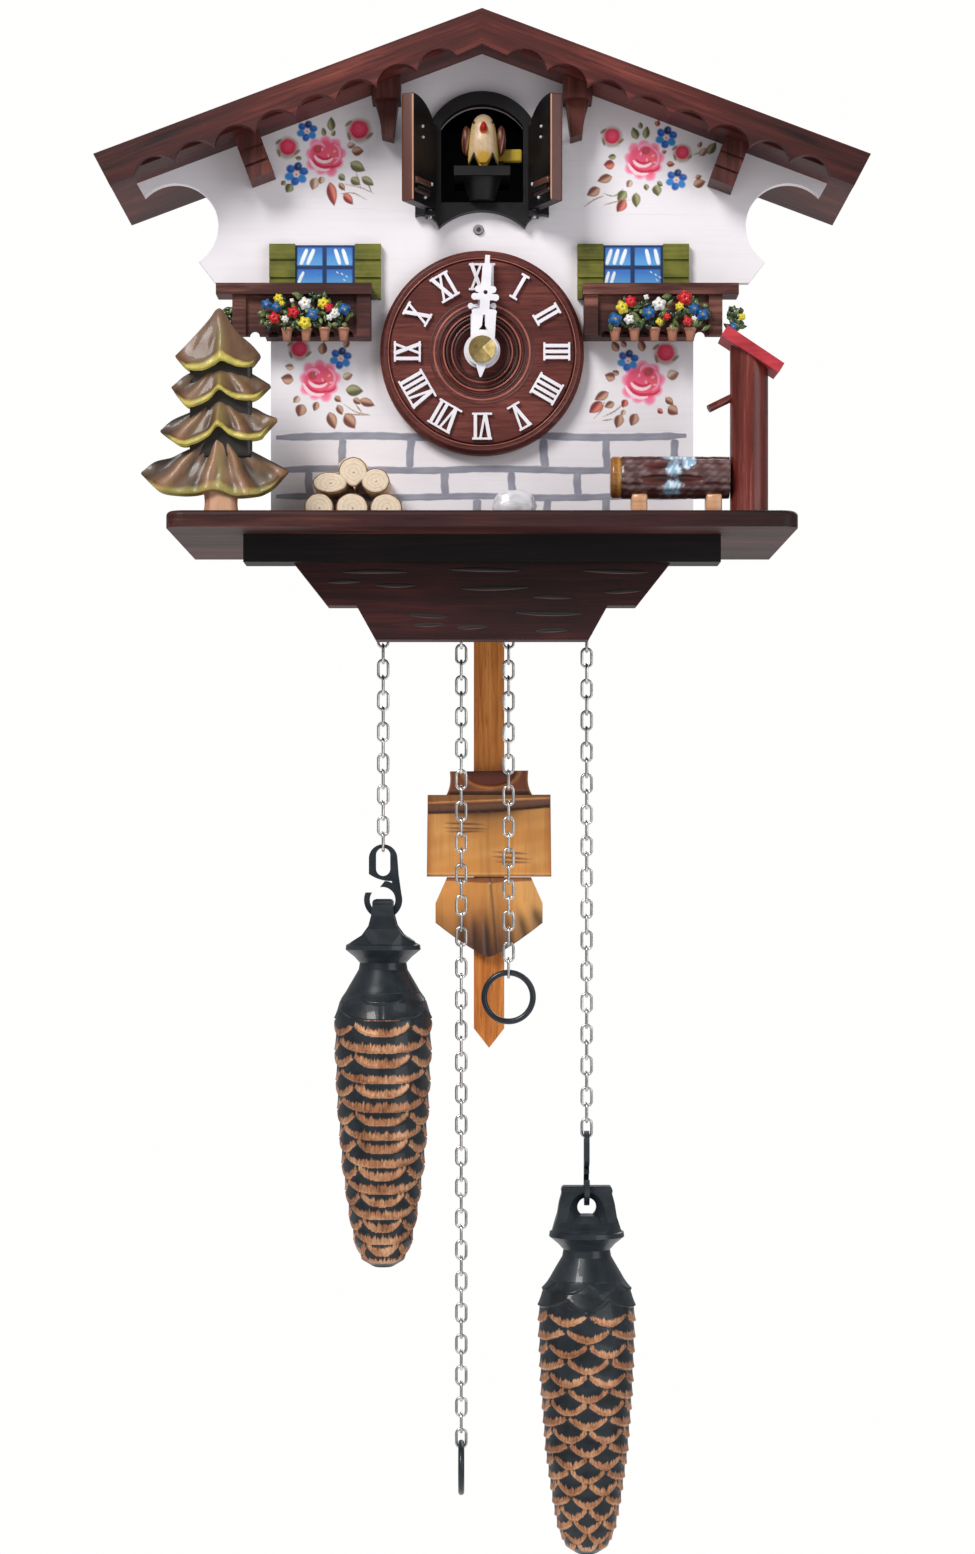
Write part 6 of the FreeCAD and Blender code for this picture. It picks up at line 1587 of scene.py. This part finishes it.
def dash(x0, x1, z, front, seed):
    """One shallow chisel cut, drawn as a thin raised strip: its dark slit is painted shade and its bright
    lower lip a painted highlight.
    """
    t = np.linspace(0, 1, 26)[None, :]
    v = np.linspace(-1, 1, 9)[:, None]
    half = 0.75 * np.sin(np.pi * np.clip(t, 0.03, 0.97)) ** 0.5
    x = x0 + (x1 - x0) * t + 0 * v
    zz = z + v * half + 0.25 * np.sin(t * 3 + seed)
    relief = 0.12 * (1 - np.abs(v)) + 0 * t
    # Painted shade for the slit and painted highlight for its lower lip.
    dark, lip = ink(16, 9, 12), ink(104, 66, 62)
    tint = np.broadcast_to(dark, x.shape + (3,)).copy()
    tint = blended(tint, lip, step_up(-v, 0.45, 0.8) * np.sin(np.pi * t) * 0.8)
    return slab_part(x, zz[::-1], front - 0.02 - relief, front + 0.3, tint[::-1])


def apron_cuts():
    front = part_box("apron_boards")[0][1] / MM
    parts = []
    for seed, (x0, x1, z) in enumerate(APRON_CUTS):
        parts.append(dash(x0, x1, z, front, seed))
    points, faces, tint = joined(parts)
    piece("apron_chisel_cuts", points, faces, TRIM_LOOK, "case", tint, "dark_wood")


# --- Dial ------------------------------------------------------------------------------------------
# Radius, width and colour of each ring: the dark rings are painted shade of turned grooves, the pale rings
# painted highlights.
DIAL_RING_SHADE_AND_HIGHLIGHT = [(33.6, 0.5, rgb(84, 36, 32)), (32.2, 0.35, rgb(156, 96, 84)), (17.8, 0.7, rgb(76, 28, 26)),
              (16.4, 0.6, rgb(158, 92, 78)), (15.0, 0.9, rgb(64, 22, 22)), (13.2, 0.6, rgb(152, 86, 72)),
              (12.0, 0.8, rgb(58, 20, 20)), (10.4, 0.5, rgb(140, 76, 64)), (9.2, 0.8, rgb(52, 18, 18))]


def dial_ring_shading():
    """Thin raised rings round the dial's middle and inside its rim: dark ones painted groove shade, pale ones
    painted highlights.
    """
    low, high = (np.array(corner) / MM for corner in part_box("dial"))
    cx, cz, front = (low[0] + high[0]) / 2, (low[2] + high[2]) / 2, low[1]
    parts = []
    for radius, width, tone in DIAL_RING_SHADE_AND_HIGHLIGHT:
        around = 160
        profile = [(-1.0, 0.0), (-0.6, 0.07), (0.0, 0.09), (0.6, 0.07), (1.0, 0.0), (0.9, -0.4),
                   (-0.9, -0.4)]
        points, tint = [], []
        for o, height in profile:
            for j in range(around):
                a = 2 * math.pi * j / around
                r = radius + o * width / 2
                points.append((cx + r * math.cos(a), front - height, cz + r * math.sin(a)))
                tint.append(np.array(tone[:3]) * (0.85 + 0.3 * math.sin(3 * a + radius) ** 2))
        count = len(profile)
        faces = list(grid_faces(count, around, wrap=True))
        faces += [((count - 1) * around + j, (count - 1) * around + (j + 1) % around, (j + 1) % around, j)
                  for j in range(around)]
        parts.append((points, faces, tint))
    points, faces, tint = joined(parts)
    piece("dial_rings", points, faces, TRIM_LOOK, "case", tint, "chestnut_wood")


# --- Screw -----------------------------------------------------------------------------------------
SCREW_X = -1.2
SCREW_Z = -29.4


def screw_head():
    head = [(0.0, 1.7), (-0.3, 1.7), (-0.75, 1.35), (-1.0, 0.8), (-1.08, 0.2)]
    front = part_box("front_panel")[0][1] / MM
    parts = [tube([(front + p, r) for p, r in head][::-1], (SCREW_X, 0, SCREW_Z), "y", (1.06, 1.06), 32,
                  rgb(58, 46, 48))]
    points, faces, tint = joined(parts)
    piece("panel_screw_head", points, faces, TRIM_LOOK, "case", tint, "steel")


# --- Making the scene ------------------------------------------------------------------------------
studio()
floor()
LOOKS = finishes()
finish_cad_nodes(LOOKS)
fir_tree()
PAINT_LOOK = wall_look()
for motif_name, motif in MOTIFS.items():
    paint_motif(motif_name, motif)
mortar()
flowers()
bob()
TRIM_LOOK = tinted("trim_stain", rough=(0.35, 0.5), coat=0.1, scale=1.5, drift=0.3, relief=0.3)
cuckoo()
leaf_details()
windows()
firewood()
pebble()
trough_log()
apron_cuts()
dial_ring_shading()
screw_head()
CONE_LOOK = cone_look()
cone_shell("left")
cone_shell("right")
